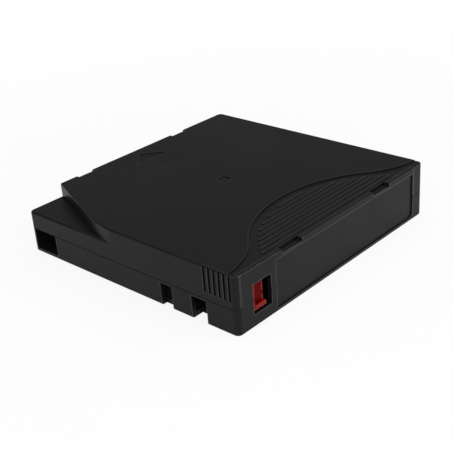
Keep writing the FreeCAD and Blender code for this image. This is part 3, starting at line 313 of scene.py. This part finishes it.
def noise(tree, point, scale, detail=2.0, roughness=0.5, stretch=None):
    if stretch:
        point = add_node(
            tree, "ShaderNodeMapping", {"Vector": point, "Scale": stretch}).outputs["Vector"]
    return add_node(tree, "ShaderNodeTexNoise", {
        "Vector": point, "Scale": scale, "Detail": detail, "Roughness": roughness}).outputs["Fac"]


# ---------------------------------------------------------------- shared effects

COLOUR, VALUE = "NodeSocketColor", "NodeSocketFloat"

# Moulded grain
CLOUDS_PER_METRE = 38.0         # soft clouds of lighter and darker plastic
CLOUD_ROUGHNESS = 0.22
SPECK_SHARE = 1.6               # of a cloud's change of shade, for a single grain

# Handling marks: each span is the noise at which a mark begins, and at which it is full
RUBS_PER_METRE, RUB_SPAN = 55.0, (0.52, 0.72)
SCUFFS_PER_METRE, SCUFF_SPAN = 900.0, (0.66, 0.74)
ZONES_PER_METRE, ZONE_SPAN = 30.0, (0.5, 0.62)
SCUFF_STRETCH = (1.0, 0.03, 1.0)
RUB_SHARE = 0.45                # of a scuff's strength
WORN_LIFT = 0.5                 # how much lighter a full mark is
WORN_GLOSS = 0.18               # how much less rough it is

# Edges polished and given a painted highlight that lightens their colour
EDGE_DEPTH_SPAN = (0.95, 0.55)  # free depth behind the surface, from where it is flat to an edge
EDGE_SAMPLES = 8
# painted highlight: how much lighter the colour is on a full edge
EDGE_HIGHLIGHT_LIFT = 3.0
EDGE_GLOSS = 0.15
SEAM_SPAN = (0.4 * MM, 0.7 * MM)  # distance from the seam within which the edge stays matt

# Drawn metal
LINES_PER_METRE = 2600.0
LINE_STRETCH = (1.0, 0.06, 0.5)
STAINS_PER_METRE = 120.0
METAL_SPAN = (0.3, 0.7)
LINE_SHADE = (0.88, 1.08)
STAIN_ROUGHNESS = (-0.07, 0.09)

# Wound turns
BAND_SPAN = (0.25, 0.75)
BAND_SHADE = (0.7, 1.5)
BAND_ROUGHNESS = (-0.08, 0.1)


def effect(name, inputs, outputs):
    """An empty shader node group with named sockets, and its two end nodes."""
    group = bpy.data.node_groups.new(name, "ShaderNodeTree")
    for label, kind, default in inputs:
        socket = group.interface.new_socket(label, in_out="INPUT", socket_type=kind)
        socket.default_value = default
    for label, kind in outputs:
        group.interface.new_socket(label, in_out="OUTPUT", socket_type=kind)
    given = group.nodes.new("NodeGroupInput").outputs
    result = group.nodes.new("NodeGroupOutput").inputs
    return group, given, result


def moulded_grain():
    """Spark-eroded texture of moulded plastic, with a faint change of shade over the surface."""
    group, given, result = effect(
        "Moulded grain",
        [("Colour", COLOUR, GREY), ("Roughness", VALUE, 0.5),
         ("Grains per metre", VALUE, 3000.0), ("Mottle", VALUE, 0.1)],
        [("Colour", COLOUR), ("Roughness", VALUE), ("Height", VALUE)])
    point = surface_point(group)
    grains = noise(group, point, given["Grains per metre"], detail=3.0, roughness=0.6)
    clouds = centred(group, noise(group, point, CLOUDS_PER_METRE, detail=3.0, roughness=0.55))
    shade = calc(group, "MULTIPLY", clouds, given["Mottle"])
    speck_size = calc(group, "MULTIPLY", given["Mottle"], SPECK_SHARE)
    lift = calc(group, "MULTIPLY_ADD", centred(group, grains), speck_size, shade)
    roughness = calc(group, "MULTIPLY_ADD", clouds, CLOUD_ROUGHNESS, given["Roughness"])
    link(group, lightened(group, given["Colour"], lift), result["Colour"])
    link(group, roughness, result["Roughness"])
    link(group, grains, result["Height"])
    return group


def handling_marks():
    """Soft rubbed patches and hair-fine scuffs that handling leaves on plastic."""
    group, given, result = effect(
        "Handling marks",
        [("Colour", COLOUR, GREY), ("Roughness", VALUE, 0.5), ("Amount", VALUE, 0.3)],
        [("Colour", COLOUR), ("Roughness", VALUE)])
    point = surface_point(group)
    rubs = noise(group, point, RUBS_PER_METRE, detail=4.0, roughness=0.6)
    scuffs = noise(group, point, SCUFFS_PER_METRE, detail=1.0, roughness=0.4,
                   stretch=SCUFF_STRETCH)
    zones = noise(group, point, ZONES_PER_METRE)
    scuffed = calc(group, "MULTIPLY", spread(group, scuffs, SCUFF_SPAN),
                   spread(group, zones, ZONE_SPAN))
    marked = calc(group, "MULTIPLY_ADD", spread(group, rubs, RUB_SPAN), RUB_SHARE, scuffed)
    worn = calc(group, "MULTIPLY", marked, given["Amount"])
    lift = calc(group, "MULTIPLY", worn, WORN_LIFT)
    roughness = calc(group, "MULTIPLY_ADD", worn, -WORN_GLOSS, given["Roughness"])
    link(group, lightened(group, given["Colour"], lift), result["Colour"])
    link(group, roughness, result["Roughness"])
    return group


def edge_polish_and_highlight():
    """Glossier line along outward edges, polished by hands, whose colour is made lighter as a
    painted highlight, but not along the seam.
    """
    group, given, result = effect(
        "Edge polish",
        [("Colour", COLOUR, GREY), ("Roughness", VALUE, 0.5), ("Width", VALUE, 0.35 * MM),
         ("Amount", VALUE, 1.0)],
        [("Colour", COLOUR), ("Roughness", VALUE), ("Edge", VALUE)])
    depth = add_node(group, "ShaderNodeAmbientOcclusion", {"Distance": given["Width"]},
                     inside=True, only_local=True, samples=EDGE_SAMPLES).outputs["AO"]
    edge = spread(group, depth, EDGE_DEPTH_SPAN, (0.0, given["Amount"]))
    height = add_node(group, "ShaderNodeSeparateXYZ", {0: surface_point(group)}).outputs["Z"]
    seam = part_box("top_shell")[0].z
    from_seam = calc(group, "ABSOLUTE", calc(group, "SUBTRACT", height, seam))
    edge = calc(group, "MULTIPLY", edge, spread(group, from_seam, SEAM_SPAN))
    # painted highlight: the colour along the edge is made lighter
    lift = calc(group, "MULTIPLY", edge, EDGE_HIGHLIGHT_LIFT)
    roughness = calc(group, "MULTIPLY_ADD", edge, -EDGE_GLOSS, given["Roughness"])
    link(group, lightened(group, given["Colour"], lift), result["Colour"])
    link(group, roughness, result["Roughness"])
    link(group, edge, result["Edge"])
    return group


def drawn_metal():
    """Fine parallel lines of drawn, rolled or turned metal, under faint stains."""
    group, given, result = effect(
        "Drawn metal",
        [("Colour", COLOUR, GREY), ("Roughness", VALUE, 0.3)],
        [("Colour", COLOUR), ("Roughness", VALUE), ("Height", VALUE)])
    point = surface_point(group)
    lines = noise(group, point, LINES_PER_METRE, roughness=0.6, stretch=LINE_STRETCH)
    stains = noise(group, point, STAINS_PER_METRE, detail=3.0)
    shade = spread(group, lines, METAL_SPAN, LINE_SHADE)
    dulled = spread(group, stains, METAL_SPAN, STAIN_ROUGHNESS)
    link(group, tinted(group, given["Colour"], shade), result["Colour"])
    link(group, calc(group, "ADD", given["Roughness"], dulled), result["Roughness"])
    link(group, lines, result["Height"])
    return group


def wound_turns():
    """Rings about the reel's axis, as the edges of many thin turns of tape make them."""
    group, given, result = effect(
        "Wound turns",
        [("Colour", COLOUR, GREY), ("Roughness", VALUE, 0.35),
         ("Bands per metre", VALUE, 1600.0)],
        [("Colour", COLOUR), ("Roughness", VALUE), ("Height", VALUE)])
    low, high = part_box("tape_pack")
    axis = (low + high) / 2
    spoke = vector_calc(group, "SUBTRACT", surface_point(group), (axis.x, axis.y, 0.0))
    spoke = vector_calc(group, "MULTIPLY", spoke, (1.0, 1.0, 0.0))
    bands = add_node(
        group, "ShaderNodeTexNoise",
        {"W": vector_length(group, spoke), "Scale": given["Bands per metre"], "Detail": 3.0},
        noise_dimensions="1D").outputs["Fac"]
    shade = spread(group, bands, BAND_SPAN, BAND_SHADE)
    dulled = spread(group, bands, BAND_SPAN, BAND_ROUGHNESS)
    link(group, tinted(group, given["Colour"], shade), result["Colour"])
    link(group, calc(group, "ADD", given["Roughness"], dulled), result["Roughness"])
    link(group, bands, result["Height"])
    return group


EFFECTS = {
    "Moulded grain": moulded_grain,
    "Handling marks": handling_marks,
    "Edge polish": edge_polish_and_highlight,
    "Drawn metal": drawn_metal,
    "Wound turns": wound_turns,
}


def place_effect(tree, name, **inputs):
    """Puts a shared effect in a material, and builds it the first time it is asked for."""
    made = tree.nodes.new("ShaderNodeGroup")
    made.node_tree = bpy.data.node_groups.get(name) or EFFECTS[name]()
    for label, value in inputs.items():
        fill(tree, made.inputs[label.replace("_", " ")], value)
    return made.outputs


# ---------------------------------------------------------------- materials

GRAIN_HEIGHT = 0.25             # of the grain's size
LINE_HEIGHT = 0.02 * MM
TURN_HEIGHT = 0.05 * MM
TRACK_HEIGHT = 0.02 * MM
TRACKS_PER_METRE = 420.0
TRACK_WIDTH = 0.06
POLISH_ROUGHNESS = 0.2
FILM_ROUGHNESS = 0.32
LAMINATE_ROUGHNESS = 0.38


def opaque(colour):
    return (*colour, 1.0)


def new_material(name, colour, roughness, metallic=0.0, specular=0.5):
    """A material with its Principled shader; returns both."""
    material = bpy.data.materials.new(name)
    material.use_nodes = True
    shader = material.node_tree.nodes["Principled BSDF"]
    shader.inputs["Base Color"].default_value = opaque(colour)
    shader.inputs["Roughness"].default_value = roughness
    shader.inputs["Metallic"].default_value = metallic
    shader.inputs["Specular IOR Level"].default_value = specular
    material.diffuse_color = opaque(colour)
    return material, shader


def feed_look(tree, shader, look):
    """Gives the shader the colour and roughness of a placed effect."""
    link(tree, look["Colour"], shader.inputs["Base Color"])
    link(tree, look["Roughness"], shader.inputs["Roughness"])


def raise_surface(tree, shader, height, strength, distance):
    bump = add_node(
        tree, "ShaderNodeBump", {"Height": height, "Strength": strength, "Distance": distance})
    link(tree, bump.outputs["Normal"], shader.inputs["Normal"])


def plastic(name, colour, roughness, grain_size, mottle=0.12, marks=0.3, specular=0.5,
            depth=0.35, edges=0.0, edge_width=0.0):
    """Grained and handled plastic, with polished edges and a painted highlight along them where
    they are asked for.
    """
    material, shader = new_material(name, colour, roughness, specular=specular)
    tree = material.node_tree
    grain = place_effect(tree, "Moulded grain", Colour=opaque(colour), Roughness=roughness,
                         Grains_per_metre=1 / grain_size, Mottle=mottle)
    look = place_effect(tree, "Handling marks", Colour=grain["Colour"],
                        Roughness=grain["Roughness"], Amount=marks)
    # edges: polish, coat and a painted highlight that lightens the colour along outward edges
    if edges:
        look = place_effect(tree, "Edge polish", Colour=look["Colour"],
                            Roughness=look["Roughness"], Width=edge_width, Amount=edges)
        link(tree, look["Edge"], shader.inputs["Coat Weight"])
        shader.inputs["Coat Roughness"].default_value = POLISH_ROUGHNESS
    feed_look(tree, shader, look)
    raise_surface(tree, shader, grain["Height"], strength=depth, distance=grain_size * GRAIN_HEIGHT)
    return material


def bare_metal(name, colour, roughness):
    """Bare metal with the lines of its drawing or rolling."""
    material, shader = new_material(name, colour, roughness, metallic=1.0)
    tree = material.node_tree
    look = place_effect(tree, "Drawn metal", Colour=opaque(colour), Roughness=roughness)
    feed_look(tree, shader, look)
    raise_surface(tree, shader, look["Height"], strength=0.25, distance=LINE_HEIGHT)
    return material


def tape_film(colour, band):
    material, shader = new_material("tape film", colour, FILM_ROUGHNESS)
    tree = material.node_tree
    look = place_effect(tree, "Wound turns", Colour=opaque(colour), Roughness=FILM_ROUGHNESS,
                        Bands_per_metre=1 / band)
    feed_look(tree, shader, look)
    raise_surface(tree, shader, look["Height"], strength=0.4, distance=TURN_HEIGHT)
    return material


def board_laminate(small):
    """Green lacquer over faint tracks."""
    material, shader = new_material("board laminate", small.board_colour, LAMINATE_ROUGHNESS)
    tree = material.node_tree
    tracks = add_node(tree, "ShaderNodeTexBrick", {
        "Vector": surface_point(tree), "Scale": TRACKS_PER_METRE, "Mortar Size": TRACK_WIDTH,
        "Color1": opaque(small.board_colour), "Color2": opaque(small.pad_colour),
        "Mortar": opaque(small.track_colour)})
    link(tree, tracks.outputs["Color"], shader.inputs["Base Color"])
    raise_surface(tree, shader, tracks.outputs["Fac"], strength=0.3, distance=TRACK_HEIGHT)
    return material


def dress(material, *names):
    """Gives CAD nodes a finish, through their objects' own slots."""
    for name in names:
        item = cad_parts[name]
        if not item.material_slots:
            item.data.materials.append(material)
        for place in item.material_slots:
            place.link = "OBJECT"
            place.material = material


# ---------------------------------------------------------------- mesh helpers

SMOOTH_ANGLE = math.radians(35)


def around(count):
    """Evenly spaced angles of one turn."""
    return [FULL_TURN * number / count for number in range(count)]


def new_mesh(name, mesh_maker):
    bm = bmesh.new()
    mesh_maker(bm)
    bmesh.ops.recalc_face_normals(bm, faces=bm.faces)
    mesh = bpy.data.meshes.new(name)
    bm.to_mesh(mesh)
    bm.free()
    return mesh


def new_object(name, data):
    item = bpy.data.objects.new(name, data)
    bpy.context.scene.collection.objects.link(item)
    return item


def new_piece(name, mesh_maker, material, slot, body, *replaced):
    """Makes an object from a bmesh, smooths it, and puts it in place of CAD nodes."""
    mesh = new_mesh(name, mesh_maker)
    mesh.polygons.foreach_set("use_smooth", [True] * len(mesh.polygons))
    mesh.set_sharp_from_angle(angle=SMOOTH_ANGLE)
    mesh.materials.append(material)
    piece = new_object(name, mesh)
    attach(piece, body)
    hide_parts(*replaced)
    return piece


def carve(piece, cutter_maker):
    """Cuts a piece with a mesh that is made for it and then thrown away."""
    cutter = new_object("cutter", new_mesh("cutter", cutter_maker))
    cut = piece.modifiers.new("cut", "BOOLEAN")
    cut.operation = "DIFFERENCE"
    cut.solver = "EXACT"
    cut.use_self = True
    cut.object = cutter
    bpy.context.view_layer.update()
    shaped = piece.evaluated_get(bpy.context.evaluated_depsgraph_get())
    mesh = bpy.data.meshes.new_from_object(shaped)
    piece.modifiers.clear()
    piece.data = mesh
    bpy.data.objects.remove(cutter)


def skin(bm, rings):
    """Joins rings of corners into a tube, with a cap at each end."""
    loops = [[bm.verts.new(corner) for corner in ring] for ring in rings]
    for low, high in zip(loops, loops[1:]):
        count = len(low)
        for k in range(count):
            after = (k + 1) % count
            bm.faces.new((low[k], low[after], high[after], high[k]))
    bm.faces.new(list(reversed(loops[0])))
    bm.faces.new(loops[-1])


def islands(node):
    """Lowest and highest corner of each separate solid of a CAD node."""
    bm = bmesh.new()
    bm.from_mesh(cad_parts[node].data)
    bmesh.ops.remove_doubles(bm, verts=bm.verts, dist=MM / 1000)
    left = set(bm.verts)
    found = []
    while left:
        reach = [left.pop()]
        points = []
        while reach:
            vertex = reach.pop()
            points.append(vertex.co.copy())
            for edge in vertex.link_edges:
                other = edge.other_vert(vertex)
                if other in left:
                    left.remove(other)
                    reach.append(other)
        found.append(tuple(
            Vector(pick(point[axis] for point in points) for axis in range(3))
            for pick in (min, max)))
    bm.free()
    return sorted(found, key=lambda corners: tuple(corners[0]))


# ---------------------------------------------------------------- springs

CLOSED_RISE = 0.98              # of the wire's thickness, over a closed turn


def coil(bm, place, radius, thickness, length, turns, steps=30, sides=12):
    """Round-wire compression spring along Z, with its first and last turn closed up."""
    count = int(turns * steps)
    half = thickness / 2
    closed = thickness * CLOSED_RISE
    dead = 1 / turns
    points = []
    for k in range(count + 1):
        share = k / count
        active = min(max((share - dead) / (1 - 2 * dead), 0), 1)
        ends = min(share, dead) / dead + max(share - 1 + dead, 0) / dead
        height = half + ends * closed + active * (length - thickness - 2 * closed)
        angle = FULL_TURN * turns * share
        points.append(Vector((radius * math.cos(angle), radius * math.sin(angle), height)))
    rings = []
    for k, point in enumerate(points):
        along = (points[min(k + 1, count)] - points[max(k - 1, 0)]).normalized()
        out = Vector((point.x, point.y, 0)).normalized()
        side = along.cross(out).normalized()
        rings.append([place @ (point + (out * math.cos(angle) + side * math.sin(angle)) * half)
                      for angle in around(sides)])
    skin(bm, rings)


# ---------------------------------------------------------------- screws

SCREW_SIDES = 40
HEAD_HEIGHT = 0.62              # of the head's radius
HEAD_PROFILE = (                # share of the head's radius, and of its height
    (0.30, 0.0), (0.80, 0.0), (0.93, 0.035), (1.0, 0.16), (1.0, 1.0))
THREAD_RINGS = 12               # to one turn of the thread
THREAD_SHARPNESS = 3.2
BARE_TIP = 1.2                  # of the thread's outer radius
TIP_PROFILE = (                 # share of the core's radius, and how far from the end
    (0.45, 0.3), (0.12, 0.0))
RECESS_REACH = 0.30             # of the head's width
RECESS_FLOOR = (0.35, 0.74)     # share of a slot's length and width that is left at its floor
CUTTER_RISE = 0.2 * MM


def screw_body(bm, low, high, sizes):
    """Pan head with a rounded rim over a shank with a helical thread."""
    centre = (low + high) / 2
    head = (high.x - low.x) / 2
    seat = low.z + head * HEAD_HEIGHT
    threaded = high.z - sizes.crest * BARE_TIP

    def ring(height, radius):
        return [Vector((centre.x + radius(angle) * math.cos(angle),
                        centre.y + radius(angle) * math.sin(angle), height))
                for angle in around(SCREW_SIDES)]

    def thread(angle, height):
        turn = ((height - seat) / sizes.pitch - angle / FULL_TURN) % 1
        ridge = max(0.0, 1 - abs(turn - 0.5) * THREAD_SHARPNESS)
        fade = min(1.0, (height - seat) / sizes.pitch, (high.z - height) / sizes.pitch)
        return sizes.shank + (sizes.crest - sizes.shank) * ridge * max(fade, 0)

    rings = [ring(low.z + (seat - low.z) * rise, lambda angle: head * share)
             for share, rise in HEAD_PROFILE]
    rings.append(ring(seat, lambda angle: sizes.shank))
    steps = int((threaded - seat) / sizes.pitch * THREAD_RINGS)
    for k in range(1, steps + 1):
        height = seat + (threaded - seat) * k / steps
        rings.append(ring(height, lambda angle: thread(angle, height)))
    for share, short in TIP_PROFILE:
        rings.append(ring(high.z - sizes.shank * short, lambda angle: sizes.shank * share))
    skin(bm, rings)


def cross_cutter(bm, low, high, sizes):
    """Two tapered bars that sink the cross recess into a head."""
    centre = (low + high) / 2
    length = (high.x - low.x) * RECESS_REACH
    levels = ((low.z - CUTTER_RISE, 1.0, 1.0), (low.z, 1.0, 1.0),
              (low.z + sizes.recess_depth, *RECESS_FLOOR))
    for turned in (False, True):
        rings = []
        for z, long, wide in levels:
            reach, half = length * long, sizes.recess_width / 2 * wide
            corners = [(-reach, -half), (reach, -half), (reach, half), (-reach, half)]
            if turned:
                corners = [(-y, x) for x, y in corners]
            rings.append([Vector((centre.x + x, centre.y + y, z)) for x, y in corners])
        skin(bm, rings)


# ---------------------------------------------------------------- studio

FLOOR_RADIUS = 4.0
FLOOR_SIDES = 96
FLOOR_DROP = 0.02 * MM
PAPER_COLOUR = (0.95, 0.95, 0.95)
PAPER_ROUGHNESS = 0.9
GLOW_REACH = (0.06, 0.3)        # metres from the middle over which the floor turns white
GLOW_SHARE = (0.86, 1.0)
SENSOR_WIDTH = 36.0
NEAREST, FARTHEST = 0.01, 20.0
LAMPS = {                       # place, and width and height
    "key": (Vector((-0.42, -0.42, 0.46)), (0.9, 0.5)),
    "fill": (Vector((0.1, 0.15, 0.8)), (0.8, 0.8)),
    "rim": (Vector((0.44, -0.45, 0.46)), (0.12, 0.12)),
}


def seen(tree, studio):
    """1 for rays that look at a surface, a share of it for glossy ones, and 0 for light."""
    path = tree.nodes.new("ShaderNodeLightPath").outputs
    gloss = calc(tree, "MULTIPLY", path["Is Glossy Ray"], studio.gloss_share)
    looked_at = calc(tree, "MAXIMUM", path["Is Camera Ray"], gloss)
    return calc(tree, "MAXIMUM", looked_at, path["Is Transmission Ray"])


def floor_paper(studio):
    """White to look at, more so away from the case, with the case's soft shadow kept."""
    material, shader = new_material("floor paper", PAPER_COLOUR, PAPER_ROUGHNESS, specular=0.0)
    tree = material.node_tree
    glow = add_node(tree, "ShaderNodeEmission", {"Color": WHITE, "Strength": 1.0})
    place = tree.nodes.new("ShaderNodeNewGeometry").outputs["Position"]
    glowing = spread(tree, vector_length(tree, place), GLOW_REACH, GLOW_SHARE)
    share = calc(tree, "MULTIPLY", seen(tree, studio), glowing)
    blend = add_node(tree, "ShaderNodeMixShader", {
        0: share, 1: shader.outputs["BSDF"], 2: glow.outputs["Emission"]})
    link(tree, blend.outputs["Shader"], tree.nodes["Material Output"].inputs["Surface"])
    return material


def lay_floor(studio):
    """Round plate just under the case."""
    mesh = new_mesh("floor", lambda bm: bmesh.ops.create_circle(
        bm, cap_ends=True, segments=FLOOR_SIDES, radius=FLOOR_RADIUS))
    plate = new_object("floor", mesh)
    plate.location.z = CAD_BOX[0].z - FLOOR_DROP
    mesh.materials.append(floor_paper(studio))


def light_room(studio):
    """Even grey light, with a white surround for what looks at it directly."""
    world = bpy.data.worlds.new("studio room")
    world.use_nodes = True
    tree = world.node_tree
    back = tree.nodes["Background"]
    level = spread(tree, seen(tree, studio), (0.0, 1.0), (studio.room_light, 1.0))
    link(tree, level, back.inputs["Strength"])
    back.inputs["Color"].default_value = WHITE
    bpy.context.scene.world = world


def hang_lamps(studio):
    """Area lamps that face the middle of the case's base."""
    for name, (place, size) in LAMPS.items():
        data = bpy.data.lights.new(name, "AREA")
        data.shape = "RECTANGLE"
        data.size, data.size_y = size
        data.energy = getattr(studio, f"{name}_power")
        lamp = new_object(name, data)
        lamp.location = place
        lamp.rotation_euler = (-place).to_track_quat("-Z", "Y").to_euler()


def place_camera(studio):
    """Camera that looks at the case's base, shifted a little in its own plane and rolled."""
    level = math.cos(studio.elevation)
    back = Vector((math.sin(studio.azimuth) * level, -math.cos(studio.azimuth) * level,
                   math.sin(studio.elevation)))
    side = Vector((0, 0, 1)).cross(back).normalized()
    rise = back.cross(side)
    right = side * math.cos(studio.roll) + rise * math.sin(studio.roll)
    up = rise * math.cos(studio.roll) - side * math.sin(studio.roll)
    place = back * studio.distance + right * studio.aside + up * studio.raised
    data = bpy.data.cameras.new("camera")
    data.lens = studio.lens
    data.sensor_width = SENSOR_WIDTH
    data.clip_start, data.clip_end = NEAREST, FARTHEST
    camera = new_object("camera", data)
    facing = Matrix((right, up, back)).transposed().to_4x4()
    camera.matrix_world = Matrix.Translation(place) @ facing
    bpy.context.scene.camera = camera


# ---------------------------------------------------------------- operators

class CARTRIDGE_OT_case(Operator):
    """Gives the two case shells their fine-grained black finish, with polished edges and a painted
    highlight along them
    """
    bl_idname = "cartridge.case"
    bl_label = "Case shells"

    def execute(self, context):
        case = context.scene.cartridge.case
        black = plastic(
            "case plastic", case.colour, roughness=case.roughness, grain_size=case.grain_size,
            mottle=0.16, marks=0.35, specular=0.16, edges=1.0, edge_width=case.edge_width)
        dress(black, "top_shell", "bottom_shell")
        return {"FINISHED"}


class CARTRIDGE_OT_switch(Operator):
    """Gives the write protect switch its red finish, with a painted highlight along its rims"""
    bl_idname = "cartridge.switch"
    bl_label = "Write protect switch"

    def execute(self, context):
        case = context.scene.cartridge.case
        red = plastic(
            "switch plastic", case.switch_colour, roughness=0.38, grain_size=case.grain_size,
            # edges: painted highlight that lightens the red along the rims, with polish and coat
            mottle=0.05, marks=0.1, specular=0.03, depth=0.12, edges=0.7, edge_width=0.9 * MM)
        dress(red, "write_protect_slider")
        return {"FINISHED"}


class CARTRIDGE_OT_door(Operator):
    """Gives the sliding door its finer black finish, scuffed from sliding, with polished edges and
    a painted highlight along them
    """
    bl_idname = "cartridge.door"
    bl_label = "Door"

    def execute(self, context):
        case = context.scene.cartridge.case
        black = plastic(
            "door plastic", case.door_colour, roughness=0.42, grain_size=case.grain_size * 0.7,
            mottle=0.1, marks=0.5, specular=0.25, edges=0.6, edge_width=case.edge_width)
        dress(black, "door")
        return {"FINISHED"}


class CARTRIDGE_OT_reel(Operator):
    """Finishes the hub, the upper flange and the steel plate under the hub"""
    bl_idname = "cartridge.reel"
    bl_label = "Reel"

    def execute(self, context):
        cartridge = context.scene.cartridge
        pale = plastic(
            "reel plastic", cartridge.reel.reel_colour, roughness=0.4, grain_size=0.3 * MM,
            mottle=0.06, marks=0.2, depth=0.15)
        dress(pale, "reel_hub", "upper_flange")
        plate = bare_metal("plate steel", cartridge.metal.plate_colour, roughness=0.28)
        dress(plate, "reel_plate")
        return {"FINISHED"}


class CARTRIDGE_OT_tape(Operator):
    """Finishes the wound tape and its free end"""
    bl_idname = "cartridge.tape"
    bl_label = "Tape"

    def execute(self, context):
        reel = context.scene.cartridge.reel
        dress(tape_film(reel.tape_colour, reel.turn_height), "tape_pack", "tape_lead")
        return {"FINISHED"}


class CARTRIDGE_OT_brake(Operator):
    """Finishes the brake button and the spider that lifts it"""
    bl_idname = "cartridge.brake"
    bl_label = "Brake"

    def execute(self, context):
        ivory = plastic(
            "brake plastic", context.scene.cartridge.reel.brake_colour, roughness=0.4,
            grain_size=0.25 * MM, mottle=0.05, marks=0.15, depth=0.12)
        dress(ivory, "brake_button", "release_spider")
        return {"FINISHED"}


class CARTRIDGE_OT_leader_pin(Operator):
    """Finishes the leader pin, its clip and its leaf spring"""
    bl_idname = "cartridge.leader_pin"
    bl_label = "Leader pin"

    def execute(self, context):
        cartridge = context.scene.cartridge
        metal = cartridge.metal
        dress(bare_metal("pin steel", metal.pin_colour, roughness=0.2), "leader_pin")
        dress(bare_metal("leaf steel", metal.leaf_colour, roughness=0.3), "pin_spring")
        clip = plastic(
            "clip plastic", cartridge.small.clip_colour, roughness=0.4, grain_size=0.2 * MM,
            depth=0.1)
        dress(clip, "pin_clip")
        return {"FINISHED"}


class CARTRIDGE_OT_memory(Operator):
    """Finishes the memory board, its chip and its antenna coil"""
    bl_idname = "cartridge.memory"
    bl_label = "Cartridge memory"

    def execute(self, context):
        cartridge = context.scene.cartridge
        resin = plastic(
            "chip resin", cartridge.small.chip_colour, roughness=0.3, grain_size=0.08 * MM,
            marks=0.0, depth=0.1)
        copper = bare_metal("coil copper", cartridge.metal.antenna_colour, roughness=0.25)
        dress(board_laminate(cartridge.small), "memory_board")
        dress(resin, "memory_chip")
        dress(copper, "memory_coil")
        return {"FINISHED"}


class CARTRIDGE_OT_springs(Operator):
    """Winds the brake spring and the door spring from round wire"""
    bl_idname = "cartridge.springs"
    bl_label = "Springs"

    def execute(self, context):
        sizes = context.scene.cartridge.springs
        colour = context.scene.cartridge.metal.spring_colour
        wire_steel = bare_metal("spring steel", colour, roughness=0.24)

        low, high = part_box("brake_spring")
        middle = (low + high) / 2
        radius = (high.x - low.x - sizes.brake_wire) / 2
        length = high.z - low.z
        standing = Matrix.Translation((middle.x, middle.y, low.z))
        spring = new_piece(
            "brake_spring_wire",
            lambda bm: coil(
                bm, standing, radius, sizes.brake_wire, length, sizes.brake_turns),
            wire_steel, "spring_steel", "case", "brake_spring")
        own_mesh(spring)

        low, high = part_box("door_spring")
        middle = (low + high) / 2
        door_radius = (high.z - low.z - sizes.door_wire) / 2
        door_length = high.y - low.y
        lying = (Matrix.Translation((middle.x, low.y, middle.z))
                 @ Matrix.Rotation(-math.pi / 2, 4, "X"))
        spring = new_piece(
            "door_spring_wire",
            lambda bm: coil(
                bm, lying, door_radius, sizes.door_wire, door_length, sizes.door_turns,
                steps=20, sides=8),
            wire_steel, "spring_steel", "case", "door_spring")
        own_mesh(spring)
        return {"FINISHED"}


class CARTRIDGE_OT_screws(Operator):
    """Makes the case screws with a threaded shank and a cross recess"""
    bl_idname = "cartridge.screws"
    bl_label = "Case screws"

    def execute(self, context):
        sizes = context.scene.cartridge.screws
        colour = context.scene.cartridge.metal.screw_colour
        zinc = bare_metal("screw steel", colour, roughness=0.32)
        places = islands("shell_screws")

        def bodies(bm):
            for low, high in places:
                screw_body(bm, low, high, sizes)

        def recesses(bm):
            for low, high in places:
                cross_cutter(bm, low, high, sizes)

        screws = new_piece(
            "case_screws", bodies, zinc, "screw_steel", "case", "shell_screws")
        carve(screws, recesses)
        return {"FINISHED"}


class CARTRIDGE_OT_stage(Operator):
    """Sets up the pale floor, the room light, the soft lamps and the camera"""
    bl_idname = "cartridge.stage"
    bl_label = "Studio"

    def execute(self, context):
        studio = context.scene.cartridge.studio
        context.scene.view_settings.view_transform = "Standard"
        lay_floor(studio)
        light_room(studio)
        hang_lamps(studio)
        place_camera(studio)
        return {"FINISHED"}


OPERATORS = (
    CARTRIDGE_OT_case, CARTRIDGE_OT_switch, CARTRIDGE_OT_door, CARTRIDGE_OT_reel,
    CARTRIDGE_OT_tape, CARTRIDGE_OT_brake, CARTRIDGE_OT_leader_pin, CARTRIDGE_OT_memory,
    CARTRIDGE_OT_springs, CARTRIDGE_OT_screws, CARTRIDGE_OT_stage,
)


class CARTRIDGE_PT_pieces(Panel):
    """Lists the cartridge's pieces and their settings"""
    bl_idname = "CARTRIDGE_PT_pieces"
    bl_label = "Tape Cartridge"
    bl_space_type = "VIEW_3D"
    bl_region_type = "UI"
    bl_category = "Cartridge"

    def draw(self, context):
        cartridge = context.scene.cartridge
        for group in Cartridge.__annotations__:
            values = getattr(cartridge, group)
            column = self.layout.column(heading=group.capitalize())
            for name in values.__annotations__:
                column.prop(values, name)
        for operator in OPERATORS:
            self.layout.operator(operator.bl_idname)


CLASSES = (
    CaseFinish, ReelFinish, MetalFinish, SmallPartFinish, SpringSizes, ScrewSizes, Studio,
    Cartridge, *OPERATORS, CARTRIDGE_PT_pieces,
)


def register():
    for item in CLASSES:
        bpy.utils.register_class(item)
    bpy.types.Scene.cartridge = PointerProperty(
        name="Cartridge", description="Settings of the tape cartridge", type=Cartridge)


def unregister():
    del bpy.types.Scene.cartridge
    for item in reversed(CLASSES):
        bpy.utils.unregister_class(item)


def main():
    register()
    for operator in OPERATORS:
        getattr(bpy.ops.cartridge, operator.bl_idname.split(".")[1])()


if __name__ == "__main__":
    main()
